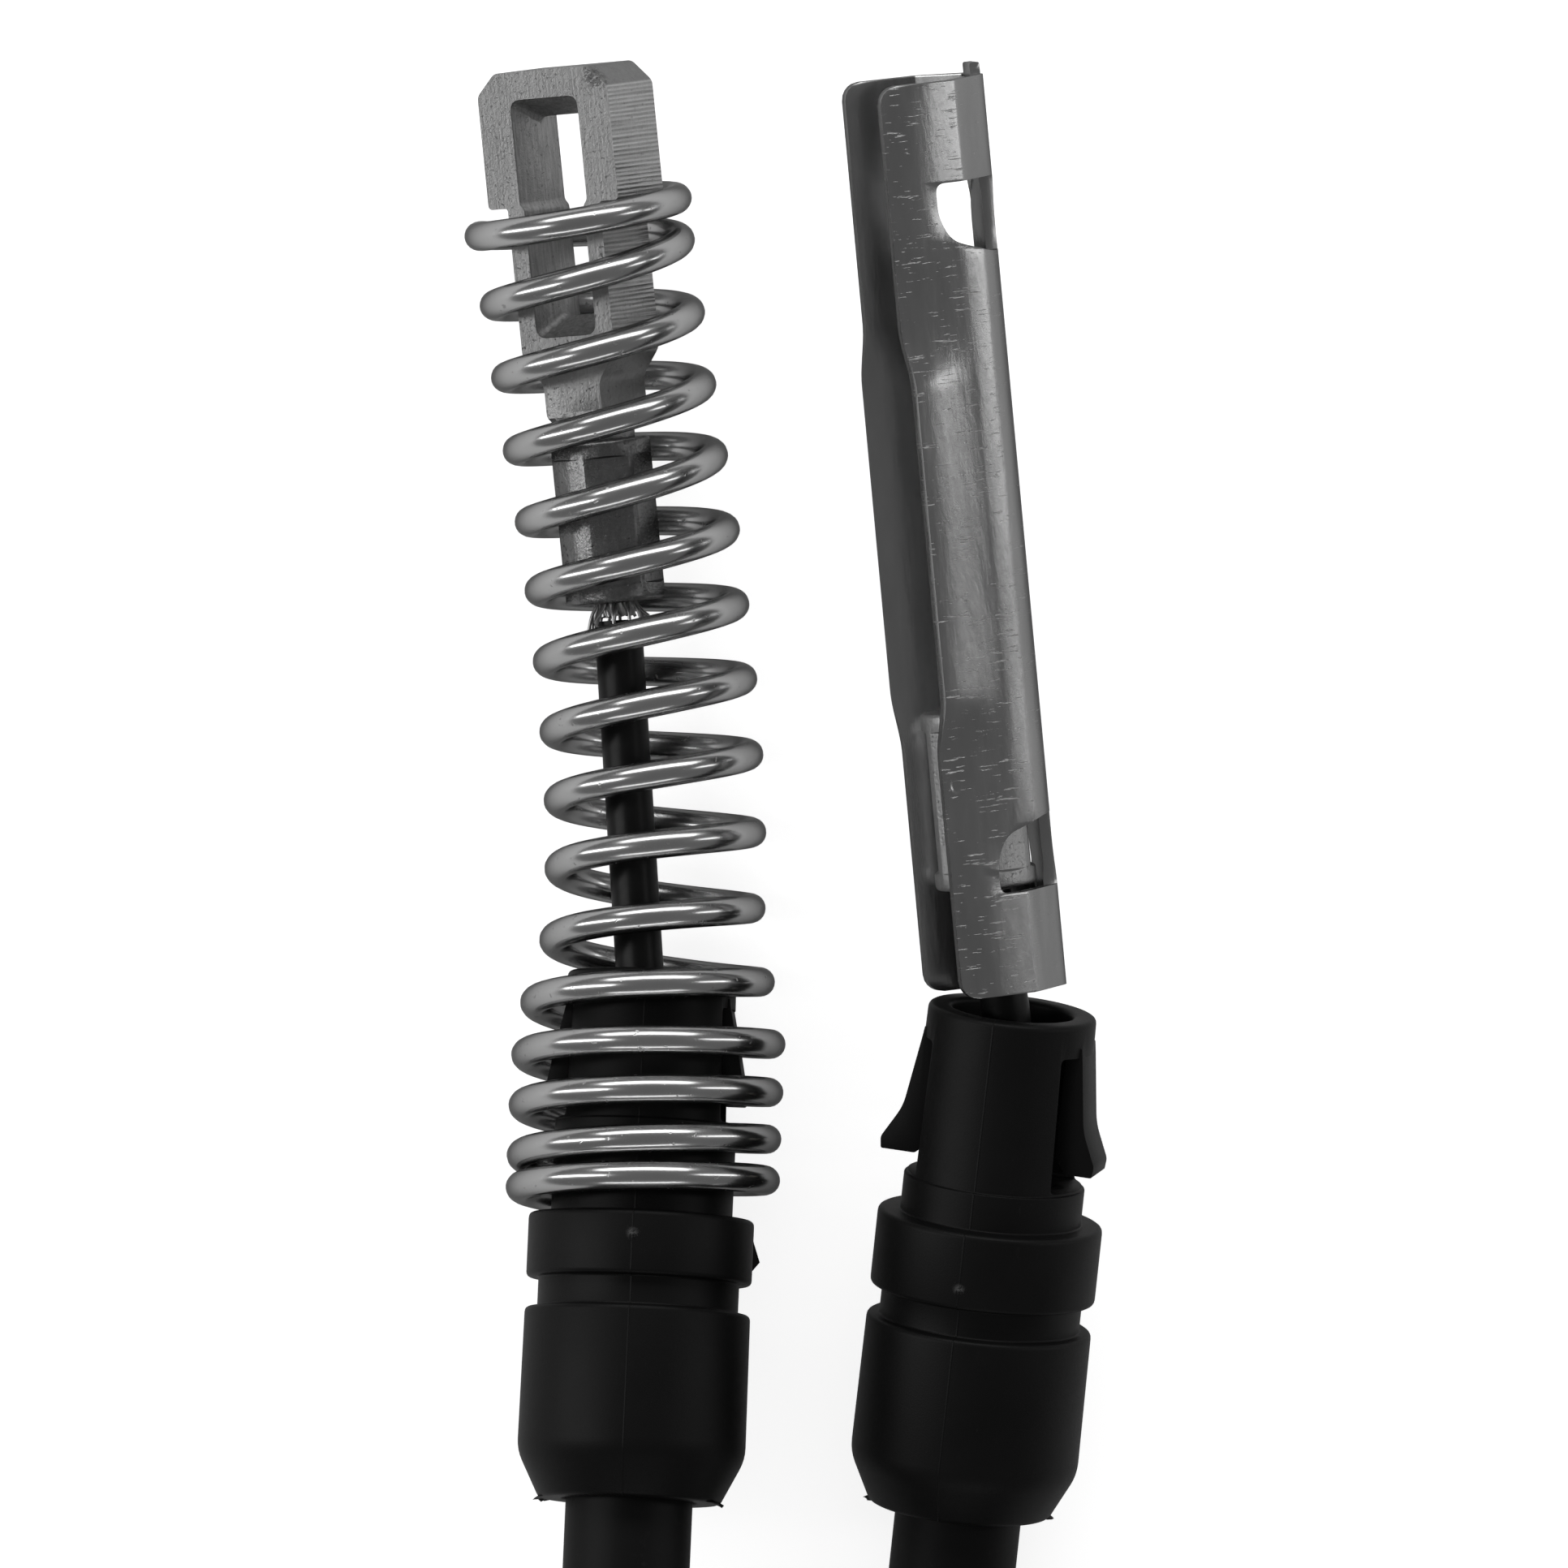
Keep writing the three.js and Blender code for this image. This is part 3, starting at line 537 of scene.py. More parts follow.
def prism(name, outline, low_z, high_z, matrix, material):
    """An outline of (x, y) given thickness along Z."""
    count = len(outline)
    vertices = [(x, y, low_z) for x, y in outline] + [(x, y, high_z) for x, y in outline]
    faces = [tuple(range(count)), tuple(range(2 * count - 1, count - 1, -1))]
    faces += [(j, (j + 1) % count, count + (j + 1) % count, count + j) for j in range(count)]
    return new_piece(name, vertices, faces, matrix, material)


def skin(name, rings, matrix, material, strip_caps=False):
    """Rings of equal count joined into a closed body.

    strip_caps closes the ends strip by strip, for a thin folded section.
    """
    count = len(rings[0])
    vertices = [tuple(p) for ring in rings for p in ring]
    faces = []
    for i in range(len(rings) - 1):
        for j in range(count):
            a, b = i * count + j, i * count + (j + 1) % count
            faces.append((a, b, b + count, a + count))
    last = (len(rings) - 1) * count
    if strip_caps:
        for start in (0, last):
            for j in range(count // 2 - 1):
                faces.append((start + j, start + j + 1, start + count - 2 - j, start + count - 1 - j))
    else:
        faces += [tuple(range(count)), tuple(range(last, last + count))]
    return new_piece(name, vertices, faces, matrix, material)


# ---- a bar along a path, by geometry nodes

def bar_tree():
    """Sweeps a round section along the curve; the ends are closed."""
    tree = bpy.data.node_groups.new("round_bar", "GeometryNodeTree")
    tree.interface.new_socket("Path", in_out="INPUT", socket_type="NodeSocketGeometry")
    tree.interface.new_socket("Bar radius", in_out="INPUT", socket_type="NodeSocketFloat")
    tree.interface.new_socket("Bar sides", in_out="INPUT", socket_type="NodeSocketInt")
    tree.interface.new_socket("Finish", in_out="INPUT", socket_type="NodeSocketMaterial")
    tree.interface.new_socket("Bar", in_out="OUTPUT", socket_type="NodeSocketGeometry")
    nodes, links = tree.nodes, tree.links
    given = nodes.new("NodeGroupInput")
    section = nodes.new("GeometryNodeCurvePrimitiveCircle")
    links.new(given.outputs["Bar sides"], section.inputs["Resolution"])
    links.new(given.outputs["Bar radius"], section.inputs["Radius"])
    sweep = nodes.new("GeometryNodeCurveToMesh")
    links.new(given.outputs["Path"], sweep.inputs["Curve"])
    links.new(section.outputs["Curve"], sweep.inputs["Profile Curve"])
    sweep.inputs["Fill Caps"].default_value = True
    real = nodes.new("GeometryNodeRealizeInstances")
    links.new(sweep.outputs["Mesh"], real.inputs[0])
    painted = nodes.new("GeometryNodeSetMaterial")
    links.new(real.outputs[0], painted.inputs["Geometry"])
    links.new(given.outputs["Finish"], painted.inputs["Material"])
    result = nodes.new("NodeGroupOutput")
    links.new(painted.outputs["Geometry"], result.inputs["Bar"])
    return tree


round_bar = bar_tree()


def set_inputs(modifier, values):
    for item in modifier.node_group.interface.items_tree:
        if item.in_out == "INPUT" and item.name in values:
            modifier[item.identifier] = values[item.name]


def swept(name, paths, diameter, sides, material, matrix=on_plan):
    """One mesh of bars along one or more paths."""
    curve = bpy.data.curves.new(name + "_path", "CURVE")
    curve.dimensions = "3D"
    curve.twist_mode = "MINIMUM"
    for path in paths:
        spline = curve.splines.new("POLY")
        spline.points.add(len(path) - 1)
        for point, where in zip(spline.points, path):
            point.co = (*(matrix @ Vector(where)), 1)
    line = bpy.data.objects.new(name + "_path", curve)
    bpy.context.scene.collection.objects.link(line)
    modifier = line.modifiers.new("bar", "NODES")
    modifier.node_group = round_bar
    set_inputs(modifier, {"Bar radius": diameter / 2 * MM, "Bar sides": sides, "Finish": material})
    bpy.context.view_layer.update()
    graph = bpy.context.evaluated_depsgraph_get()
    mesh = bpy.data.meshes.new_from_object(line.evaluated_get(graph))
    piece = bpy.data.objects.new(name, mesh)
    bpy.context.scene.collection.objects.link(piece)
    bpy.data.objects.remove(line)
    outward(mesh)
    if not mesh.materials:
        mesh.materials.append(material)
    return smooth(piece, 50)


def spline_through(points, steps):
    """A smooth line through points, eased by their spacing."""
    points = [Vector(p) for p in points]
    padded = [points[0] * 2 - points[1], *points, points[-1] * 2 - points[-2]]
    line = []
    for i in range(len(points) - 1):
        p0, p1, p2, p3 = padded[i:i + 4]
        d0 = max((p1 - p0).length ** 0.5, 1e-6)
        d1 = max((p2 - p1).length ** 0.5, 1e-6)
        d2 = max((p3 - p2).length ** 0.5, 1e-6)
        t1 = ((p1 - p0) / d0 - (p2 - p0) / (d0 + d1) + (p2 - p1) / d1) * d1
        t2 = ((p2 - p1) / d1 - (p3 - p1) / (d1 + d2) + (p3 - p2) / d2) * d1
        c2 = -3 * p1 + 3 * p2 - 2 * t1 - t2
        c3 = 2 * p1 - 2 * p2 + t1 + t2
        for k in range(steps):
            t = k / steps
            line.append(p1 + t1 * t + c2 * t * t + c3 * t * t * t)
    line.append(points[-1])
    return line


def length_of(line):
    return sum((b - a).length for a, b in zip(line, line[1:]))


def evenly(line, count):
    """The same line with its points at equal spacing."""
    total = length_of(line)
    wanted = [total * i / (count - 1) for i in range(count)]
    result, done, i = [], 0.0, 0
    for distance in wanted:
        while i < len(line) - 2 and done + (line[i + 1] - line[i]).length < distance:
            done += (line[i + 1] - line[i]).length
            i += 1
        span = (line[i + 1] - line[i]).length
        result.append(line[i].lerp(line[i + 1], min((distance - done) / span, 1.0)))
    return result


# ---- sizes of the two conduit fittings; depths run down from the mouth

socket_length = 5.2
groove_height, body_height, tail_height = 2.3, 11.1, 3.6
brake_sizes = {
    "window_top": 2.6, "window_width": 6.2, "prong_foot": 9.9, "prong_reach": 7.65, "boss_top": 11.6,
    "collar_top": 18.8, "collar_height": 5.0, "wide_bore": 29.6, "key_reach": 9.4, "key_angle": 0.35,
    "right_prong_in": 0.0,
}
lever_sizes = {
    "window_top": 2.6, "window_width": 8.2, "prong_foot": 11.8, "prong_reach": 8.8, "boss_top": 13.4,
    "collar_top": 16.3, "collar_height": 6.0, "wide_bore": 11.0, "right_prong_in": 0.65,
}


def fitting_length(sizes):
    """From the mouth to the lip of the tail."""
    return sizes["collar_top"] + sizes["collar_height"] + groove_height + body_height + tail_height


brake_length = fitting_length(brake_sizes)
lever_length = fitting_length(lever_sizes)


# ---- the conduit: out of both fittings, and stored in a tied coil past the view's edge

coil_mean_radius = 49
coil_layers = 3
coil_middle = Vector((0, -136, 0))
joins_at, leaves_at, coil_step = 126, 54, 4.5
tie_thickness, tie_width = 1.1, 4.5
coil_lift = tie_thickness + running_gap


def on_coil(angle, layer):
    """A point of the coil; its height is over the floor, not over the plan."""
    height = coil_lift + conduit_diameter / 2 + layer * conduit_diameter
    turn = math.radians(angle)
    return coil_middle + Vector((
        coil_mean_radius * math.cos(turn), coil_mean_radius * math.sin(turn), height - plan_shift.z,
    ))


def run(mouth, axis, length, coil_point, coil_tangent):
    """From the fitting's socket to the coil: straight out, then one bend."""
    def at(depth):
        return mouth - axis * depth
    handle, straight_out = 13, 11
    p0, p1 = at(length + straight_out), at(length + straight_out + handle)
    p2, p3 = coil_point - coil_tangent * handle, coil_point
    bend = []
    for i in range(1, 13):
        t = i / 12
        bend.append(p0 * (1 - t) ** 3 + p1 * 3 * t * (1 - t) ** 2 + p2 * 3 * t * t * (1 - t) + p3 * t ** 3)
    socket_top = length - socket_length + running_gap
    straight = [at(socket_top), at(socket_top + 2.5), at(length), at(length + 3), at(length + 7), p0]
    return straight + bend


def conduit_route():
    """Down from the brake end, round the coil layer by layer, and up to the lever end."""
    joining, leaving = math.radians(joins_at), math.radians(leaves_at)
    top_layer = coil_layers - 1
    down = run(
        brake_mouth, brake_axis, brake_length, on_coil(joins_at, top_layer),
        Vector((-math.sin(joining), math.cos(joining), 0)),
    )
    up = run(
        lever_mouth, lever_axis, lever_length, on_coil(leaves_at, 0),
        Vector((math.sin(leaving), -math.cos(leaving), 0)),
    )
    change = joins_at - leaves_at
    turns = []
    angle = joins_at + coil_step
    end = leaves_at + 360 * coil_layers
    while angle < end - 1:
        lap, within = divmod(angle - joins_at, 360)
        step = max(0.0, (within - 360 + change) / change)
        turns.append(on_coil(angle, top_layer - lap - step * step * (3 - 2 * step)))
        angle += coil_step
    return down + turns + up[::-1]


conduit_path = conduit_route()
conduit = swept("conduit", [conduit_path], conduit_diameter, 32, sheath)
keep(
    conduit, "cable_casing", "conduit_sheath",
    "conduit_brake_end_run", "conduit_lever_end_run", "conduit_coil",
)


def tie(name, angle):
    """A closed band round all layers of the coil."""
    half = conduit_diameter / 2 + 0.4
    low_z = coil_lift - running_gap
    high_z = coil_lift + coil_layers * conduit_diameter + running_gap
    end, eased = tie_width / 2, 0.25

    def band(grown, corner):
        outline = []
        side = half + grown - corner
        foot, top = low_z - grown + corner, high_z + grown - corner
        for cx, cz, start in ((side, foot, -90), (side, top, 0), (-side, top, 90), (-side, foot, 180)):
            for i in range(7):
                turn = math.radians(start + 15 * i)
                outline.append((cx + corner * math.cos(turn), cz + corner * math.sin(turn)))
        return outline
    inner, outer = band(0.0, 0.2), band(tie_thickness - 0.01, 1.2)
    rings = []
    for drawn_in, y in ((eased, -end), (0.0, -end + eased), (0.0, end - eased), (eased, end)):
        rings.append([(x * (1 - drawn_in * 0.04), y, z) for x, z in outer])
    count = len(inner)
    rings += [[(x, y, z) for x, z in inner] for y in (-end, end)]
    vertices = [p for ring in rings for p in ring]
    faces = []
    for i in range(3):
        for j in range(count):
            k = (j + 1) % count
            faces.append((i * count + j, i * count + k, (i + 1) * count + k, (i + 1) * count + j))
    for j in range(count):
        k = (j + 1) % count
        faces.append((j, k, 4 * count + k, 4 * count + j))
        faces.append((3 * count + j, 3 * count + k, 5 * count + k, 5 * count + j))
        faces.append((4 * count + j, 4 * count + k, 5 * count + k, 5 * count + j))
    band_frame = (
        Matrix.Scale(MM, 4)
        @ Matrix.Translation(Vector((plan_shift.x, plan_shift.y, 0)) + coil_middle)
        @ Matrix.Rotation(math.radians(angle), 4, "Z")
        @ Matrix.Translation((coil_mean_radius, 0, 0))
    )
    piece = new_piece(name + "_band", vertices, faces, band_frame, nylon_brake)
    smooth(piece, 35)
    return keep(piece, "cable_casing", "black_nylon", name)


ties = [tie("coil_tie_left", 200), tie("coil_tie_right", 340)]
row_path = [on_plan @ p for p in conduit_path]
round(length_of(row_path), 3)


# ---- conduit fittings

def fitting_profile(sizes):
    """The fitting's closed section, mouth at y = 0, tail below; corners have small radii."""
    seat, socket = 3.4, conduit_diameter / 2 + running_gap
    collar_bottom = sizes["collar_top"] + sizes["collar_height"]
    groove_bottom = collar_bottom + groove_height
    body_bottom = groove_bottom + body_height
    length = fitting_length(sizes)
    corners = [
        (6.5, 0, 0.45), (6.75, sizes["boss_top"], 0.15), (7.0, sizes["boss_top"], 0.3),
        (7.0, sizes["collar_top"], 0.15), (8.7, sizes["collar_top"], 0.45), (8.7, collar_bottom, 0.4),
        (7.75, collar_bottom, 0.2), (7.75, groove_bottom, 0.2), (8.7, groove_bottom, 0.45),
        (8.8, body_bottom, 0.9), (7.0, length, 0.35),
        (socket, length, 0.25), (socket, length - socket_length, 0.1), (seat, length - socket_length, 0.1),
        (seat, sizes["wide_bore"] + 1.2, 0.3), (4.7, sizes["wide_bore"], 0.3), (4.7, 0, 0.45),
    ]
    return rounded_profile([(r, -y, c) for r, y, c in corners])


def rounded_profile(corners, steps=4):
    """A closed outline from corners of (x, y, radius), each eased by its radius."""
    outline = []
    count = len(corners)
    for i, (r, y, radius) in enumerate(corners):
        here = Vector((r, y))
        before = Vector(corners[i - 1][:2]) - here
        after = Vector(corners[(i + 1) % count][:2]) - here
        reach = min(radius, before.length * 0.45, after.length * 0.45)
        a, b = here + before.normalized() * reach, here + after.normalized() * reach
        for k in range(steps + 1):
            t = k / steps
            p = a * (1 - t) ** 2 + here * 2 * t * (1 - t) + b * t * t
            outline.append((p.x, p.y))
    return outline


def prong_outline(sizes, reach):
    """A snap prong seen from the front; its barb stands out to reach."""
    inner, foot, top = 5.05, -sizes["prong_foot"], -sizes["window_top"] + 0.7
    flare = -sizes["window_top"] - 0.62 * (sizes["prong_foot"] - sizes["window_top"])
    corners = [
        (inner, top, 0), (inner, foot + 1.2, 0.3), (inner + 0.9, foot, 0.2),
        (reach - 0.1, foot, 0.15), (reach, foot + 0.9, 0.25),
        (7.3 + 0.4 * (reach - sizes["prong_reach"]), flare, 0.8),
        (inner + 1.3, -sizes["window_top"], 0.3), (inner + 1.2, top, 0),
    ]
    return rounded_profile(corners)


def fitting(name, sizes, matrix, material):
    body = turned_body(name + "_moulding", fitting_profile(sizes), matrix, material)
    cutters, prongs = [], []
    half = sizes["window_width"] / 2
    for side in (-1, 1):
        bottom = sizes["boss_top"] - 0.2
        window = rounded_profile([
            (-half, -bottom, 0.4), (half, -bottom, 0.4), (half, -sizes["window_top"], 0.4),
            (-half, -sizes["window_top"], 0.4),
        ])
        turn = Matrix.Rotation(math.radians(90 * side), 4, "Y")
        cutters.append(prism("window", window, 0.5, 12, matrix @ turn, material))
        reach = sizes["prong_reach"] - max(side, 0) * sizes["right_prong_in"]
        outline = [(side * x, y) for x, y in prong_outline(sizes, reach)]
        prongs.append(prism("prong", outline, -2.3, 2.3, matrix, material))
    cut_or_join(body, cutters, "DIFFERENCE")
    cut_or_join(body, prongs, "UNION")
    if "key_reach" in sizes:
        top = -sizes["collar_top"] - 0.8
        reach = sizes["key_reach"]
        outline = [(7.7, top), (8.6, top), (reach, top - 2.2), (8.6, top - 3.2), (7.7, top - 3.2)]
        turn = Matrix.Rotation(sizes["key_angle"], 4, "Y")
        cut_or_join(body, [prism("key", outline, -0.8, 0.8, matrix @ turn, material)], "UNION")
    rounded_edges(body, 0.14, 40, 2)
    smooth(body, 40)
    return body


for name, sizes, own_frame, finish, node in (
    ("brake_fitting", brake_sizes, nylon_frame_brake, nylon_brake, "brake_end_fitting"),
    ("lever_fitting", lever_sizes, nylon_frame_lever, nylon_lever, "lever_end_fitting"),
):
    keep(fitting(name, sizes, own_frame, finish), "cable_casing", "black_nylon", node)


def tail_flash(name, length, matrix, material, spans, seed):
    """Thin ragged flash that the mould left round the tail's lip."""
    chance = random.Random(seed)
    vertices, faces = [], []
    for start, end in spans:
        steps = max(4, int((end - start) / 4))
        first = len(vertices)
        for i in range(steps + 1):
            turn = math.radians(start + (end - start) * i / steps)
            fade = math.sin(math.pi * i / steps) ** 0.6 + 0.02
            out = 6.95 + fade * chance.uniform(0.05, 0.55)
            down = -length - fade * chance.uniform(0.0, 0.3)
            sine, cosine = math.sin(turn), math.cos(turn)
            vertices += [
                (6.7 * sine, -length + 0.35, 6.7 * cosine), (6.7 * sine, -length + 0.05, 6.7 * cosine),
                (out * sine, down, out * cosine),
            ]
        for i in range(steps):
            a, b = first + i * 3, first + (i + 1) * 3
            for j in range(3):
                k = (j + 1) % 3
                faces.append((a + j, a + k, b + k, b + j))
        last = first + steps * 3
        faces += [(first, first + 1, first + 2), (last, last + 1, last + 2)]
    piece = new_piece(name, vertices, faces, matrix, material)
    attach(piece, "cable_casing")


tail_flash("brake_tail_flash", brake_length, nylon_frame_brake, nylon_brake, [(-112, -72), (64, 100)], 3)
tail_flash("lever_tail_flash", lever_length, nylon_frame_lever, nylon_lever, [(-100, -68), (92, 112)], 5)


def liner(name, wide_bore, length, matrix, node):
    top, bottom = -wide_bore + 0.4, -length + socket_length
    profile = rounded_profile([(3.1, top, 0.2), (3.1, bottom, 0.1), (2.25, bottom, 0.1), (2.25, top, 0.2)])
    piece = turned_body(name, profile, matrix, liner_white, 48)
    keep(smooth(piece), "cable_casing", "liner_plastic", node)


liner("brake_liner_end", brake_sizes["wide_bore"], brake_length, nylon_frame_brake, "brake_end_liner")
liner("lever_liner_end", lever_sizes["wide_bore"], lever_length, nylon_frame_lever, "lever_end_liner")


# ---- inner cables

def coated_cable(name, path, body, node):
    piece = swept(name, [path], inner_cable_diameter, 32, coating)
    keep(piece, body, "cable_coating", node)


coated_cable("brake_inner_cable", evenly([cable_foot, cable_top], 24), "brake_end", "brake_end_inner_cable")

stop_foot_plan = channel_foot + (channel_turn @ Vector((-0.5, 7.8 + running_gap, 0, 0))).to_3d()


def lever_cable_path():
    def along_lever(depth):
        return lever_mouth - lever_axis * depth

    def below_stop(drop):
        return stop_foot_plan - channel_axis * drop
    return spline_through([
        along_lever(33), along_lever(24), along_lever(15), along_lever(9), along_lever(5.5),
        along_lever(1).lerp(below_stop(9.5), 0.35), below_stop(4), below_stop(2), below_stop(running_gap),
    ], 8)


coated_cable("lever_inner_cable", lever_cable_path(), "lever_end", "lever_end_inner_cable")


# ---- return spring

def spring_path():
    axis = evenly(spline_through([
        (-10.98, -30.85, 11.82), (-10.75, -24.2, 11.25), (-10.1, -11, 10.1), (-10.1, 1.0, 9.2),
        (-11.7, 17.7, 8.95), (-13.65, 30.0, 9.6), (-16.05, 45.3, 10.6),
    ], 60), 1200)
    # turns and their pitch, in proportion, from the closed head down to the closed foot
    stages = [(0.2, 2.0), (0.5, 1.1), (10.3, 5.826), (1.0, 5.0), (2.8, 3.907), (1.05, 2.36)]
    waist_radius, head_flare, foot_flare = 7.45, 0.35, 2.0
    turns = sum(count for count, _ in stages)

    def drop_at(turn):
        drop = 0.0
        for count, pitch in stages:
            part = min(turn, count)
            drop += part * pitch
            turn -= part
        return drop

    def eased(x):
        t = min(max(x, 0.0), 1.0)
        return t * t * (3 - 2 * t)
    whole_drop = drop_at(turns)
    path = []
    steps = int(turns * 48)
    for i in range(steps + 1):
        turn = turns * i / steps
        share = 1 - drop_at(turn) / whole_drop
        spot = share * (len(axis) - 1)
        k = min(int(spot), len(axis) - 2)
        centre = axis[k].lerp(axis[k + 1], spot - k)
        tangent = (axis[min(k + 6, len(axis) - 1)] - axis[max(k - 6, 0)]).normalized()
        right = Vector((1, 0, 0))
        right = (right - tangent * right.dot(tangent)).normalized()
        back = tangent.cross(right)
        phase = math.radians(60) - turn * 2 * math.pi
        radius = waist_radius + head_flare * (1 - eased(turn - 0.5)) + foot_flare * eased((turn - 10.15) / 2.2)
        path.append(centre + right * (radius * math.cos(phase)) + back * (radius * math.sin(phase)))
    return path


spring_wire = 2.26
spring = swept("spring", [spring_path()], spring_wire, 24, spring_zinc)
keep(spring, "cable_casing", "bright_zinc", "return_spring")
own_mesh(spring)


# ---- eye, with its crimp barrel and wire rope end

eye_frame = placed(eye_foot, eye_turn)
eye_thickness = 6.4


def crimped(name, radius, flats, length, bore, depth, matrix, finish, roll=0.0):
    """A turned barrel with six flats pressed into it between its ends."""
    edge = 0.4
    through = depth >= length
    corners = [(bore, 0, 0.1), (radius, 0, edge), (radius, length, edge)]
    corners += [(bore, length, 0.1)] if through else [(0.02, length, 0), (0.02, depth, 0), (bore, depth, 0.1)]
    barrel = turned_body(name, rounded_profile(corners), matrix, finish)
    side = 3

    def press_ring(inset, height):
        spots = ((-side, inset), (side, inset), (side, length - inset), (-side, length - inset))
        return [(x, y, height) for x, y in spots]
    presses = []
    for i in range(6):
        turn = Matrix.Rotation(i * math.pi / 3 + roll, 4, "Y")
        rings = [press_ring(1.4, flats / 2), press_ring(1.0, flats / 2 + 1)]
        presses.append(skin("press", rings, matrix @ turn, finish))
    return cut_or_join(barrel, presses, "DIFFERENCE")


def eye_piece():
    half = eye_thickness / 2
    side = [
        (2.55, 14.6, 0.3), (2.55, 17.2, 0.6), (4.25, 19.3, 0.6), (4.25, 31.0, 0.25), (6.0, 31.0, 0.4),
        (6.0, 39.8, 0.35), (4.3, 41.47, 0.35),
    ]
    outline = rounded_profile(side + [(-x, y, c) for x, y, c in reversed(side)])
    body = prism("forged_eye", outline, -half, half, eye_frame, steel)
    rings = []
    for z, grow, ends in ((-half - 0.4, -0.06, -0.19), (0, 0.5, 1.5), (half + 0.4, -0.06, -0.19)):
        low_y, high_y = 20.8 + ends, 39.3 - ends
        bottom, top = 2.75 - grow, 3.1 - grow
        corner = 0.9
        ring = rounded_profile([
            (bottom, low_y, corner), (bottom, 30.8, 0.3), (top, 31.2, 0.3), (top, high_y, corner),
            (-top, high_y, corner), (-top, 31.2, 0.3), (-bottom, 30.8, 0.3), (-bottom, low_y, corner),
        ])
        rings.append([(x, y, z) for x, y in ring])
    slot = skin("slot", rings, eye_frame, steel)
    cut_or_join(body, [slot], "DIFFERENCE")

    def waist_ring(y, radius_at):
        ring = []
        for i in range(48):
            turn = 2 * math.pi * i / 48
            r = radius_at(turn)
            ring.append((r * math.sin(turn), y, r * math.cos(turn)))
        return ring

    def neck(turn):
        return min(2.55 / max(abs(math.sin(turn)), 1e-6), half / max(abs(math.cos(turn)), 1e-6))
    waist = skin("waist", [
        waist_ring(12.1, lambda turn: 2.7), waist_ring(13.1, lambda turn: 2.75),
        waist_ring(14.6, neck), waist_ring(15.0, neck),
    ], eye_frame, steel)
    barrel = crimped("crimp", 3.85, 6.88, 12.6, 1.7, 10.8, eye_frame, steel, math.radians(-22))
    cut_or_join(body, [waist, barrel], "UNION")
    rounded_edges(body, 0.22, 30, 2)
    return smooth(body, 36)


keep(eye_piece(), "brake_end", "cast_steel", "brake_end_eye")


rope_radius, rope_wire, rope_strands, rope_pitch = 1.4, 0.62, 12, 22


def rope(name, length, matrix, body, node, start=0.0):
    """Wires laid round a core in a long twist."""
    paths = [[(0, start + length * i / 12, 0) for i in range(13)]]
    outer = rope_radius - rope_wire / 2
    for ring, count in ((outer, rope_strands), (outer / 2, rope_strands // 2)):
        for s in range(count):
            path = []
            for i in range(41):
                y = length * i / 40
                turn = 2 * math.pi * (s / count + y / rope_pitch)
                path.append((ring * math.cos(turn), start + y, ring * math.sin(turn)))
            paths.append(path)
    piece = swept(name, paths, rope_wire, 8, wire_steel, matrix)
    keep(piece, body, "bare_wire", node)


rope("eye_rope_end", 11.6, eye_frame, "brake_end", "brake_end_strand", -bare_strand)


def frayed_wires():
    """Loose wire ends that stand out of the crimp barrel's mouth, past the coated cable."""
    chance = random.Random(7)
    paths = []
    count = 16
    for i in range(count):
        turn = 2 * math.pi * (i + chance.uniform(-0.45, 0.45)) / count
        reach = chance.uniform(0.6, 3.0)
        spread = chance.uniform(2.02, 2.5)
        side = turn + chance.uniform(-0.3, 0.3)
        paths.append(spline_through([
            (1.45 * math.sin(turn), 0.7, 1.45 * math.cos(turn)),
            (1.5 * math.sin(turn), -0.1, 1.5 * math.cos(turn)),
            (1.95 * math.sin((turn + side) / 2), -0.9, 1.95 * math.cos((turn + side) / 2)),
            (spread * math.sin(side), -0.9 - reach * 0.6, spread * math.cos(side)),
        ], 5))
    piece = swept("frayed_wires", paths, 0.26, 8, wire_steel, eye_frame)
    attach(piece, "brake_end")


frayed_wires()


# ---- connector channel

sheet = 0.9
channel_length = 70.5
channel_depth = 9.5
channel_half_height = 5.1


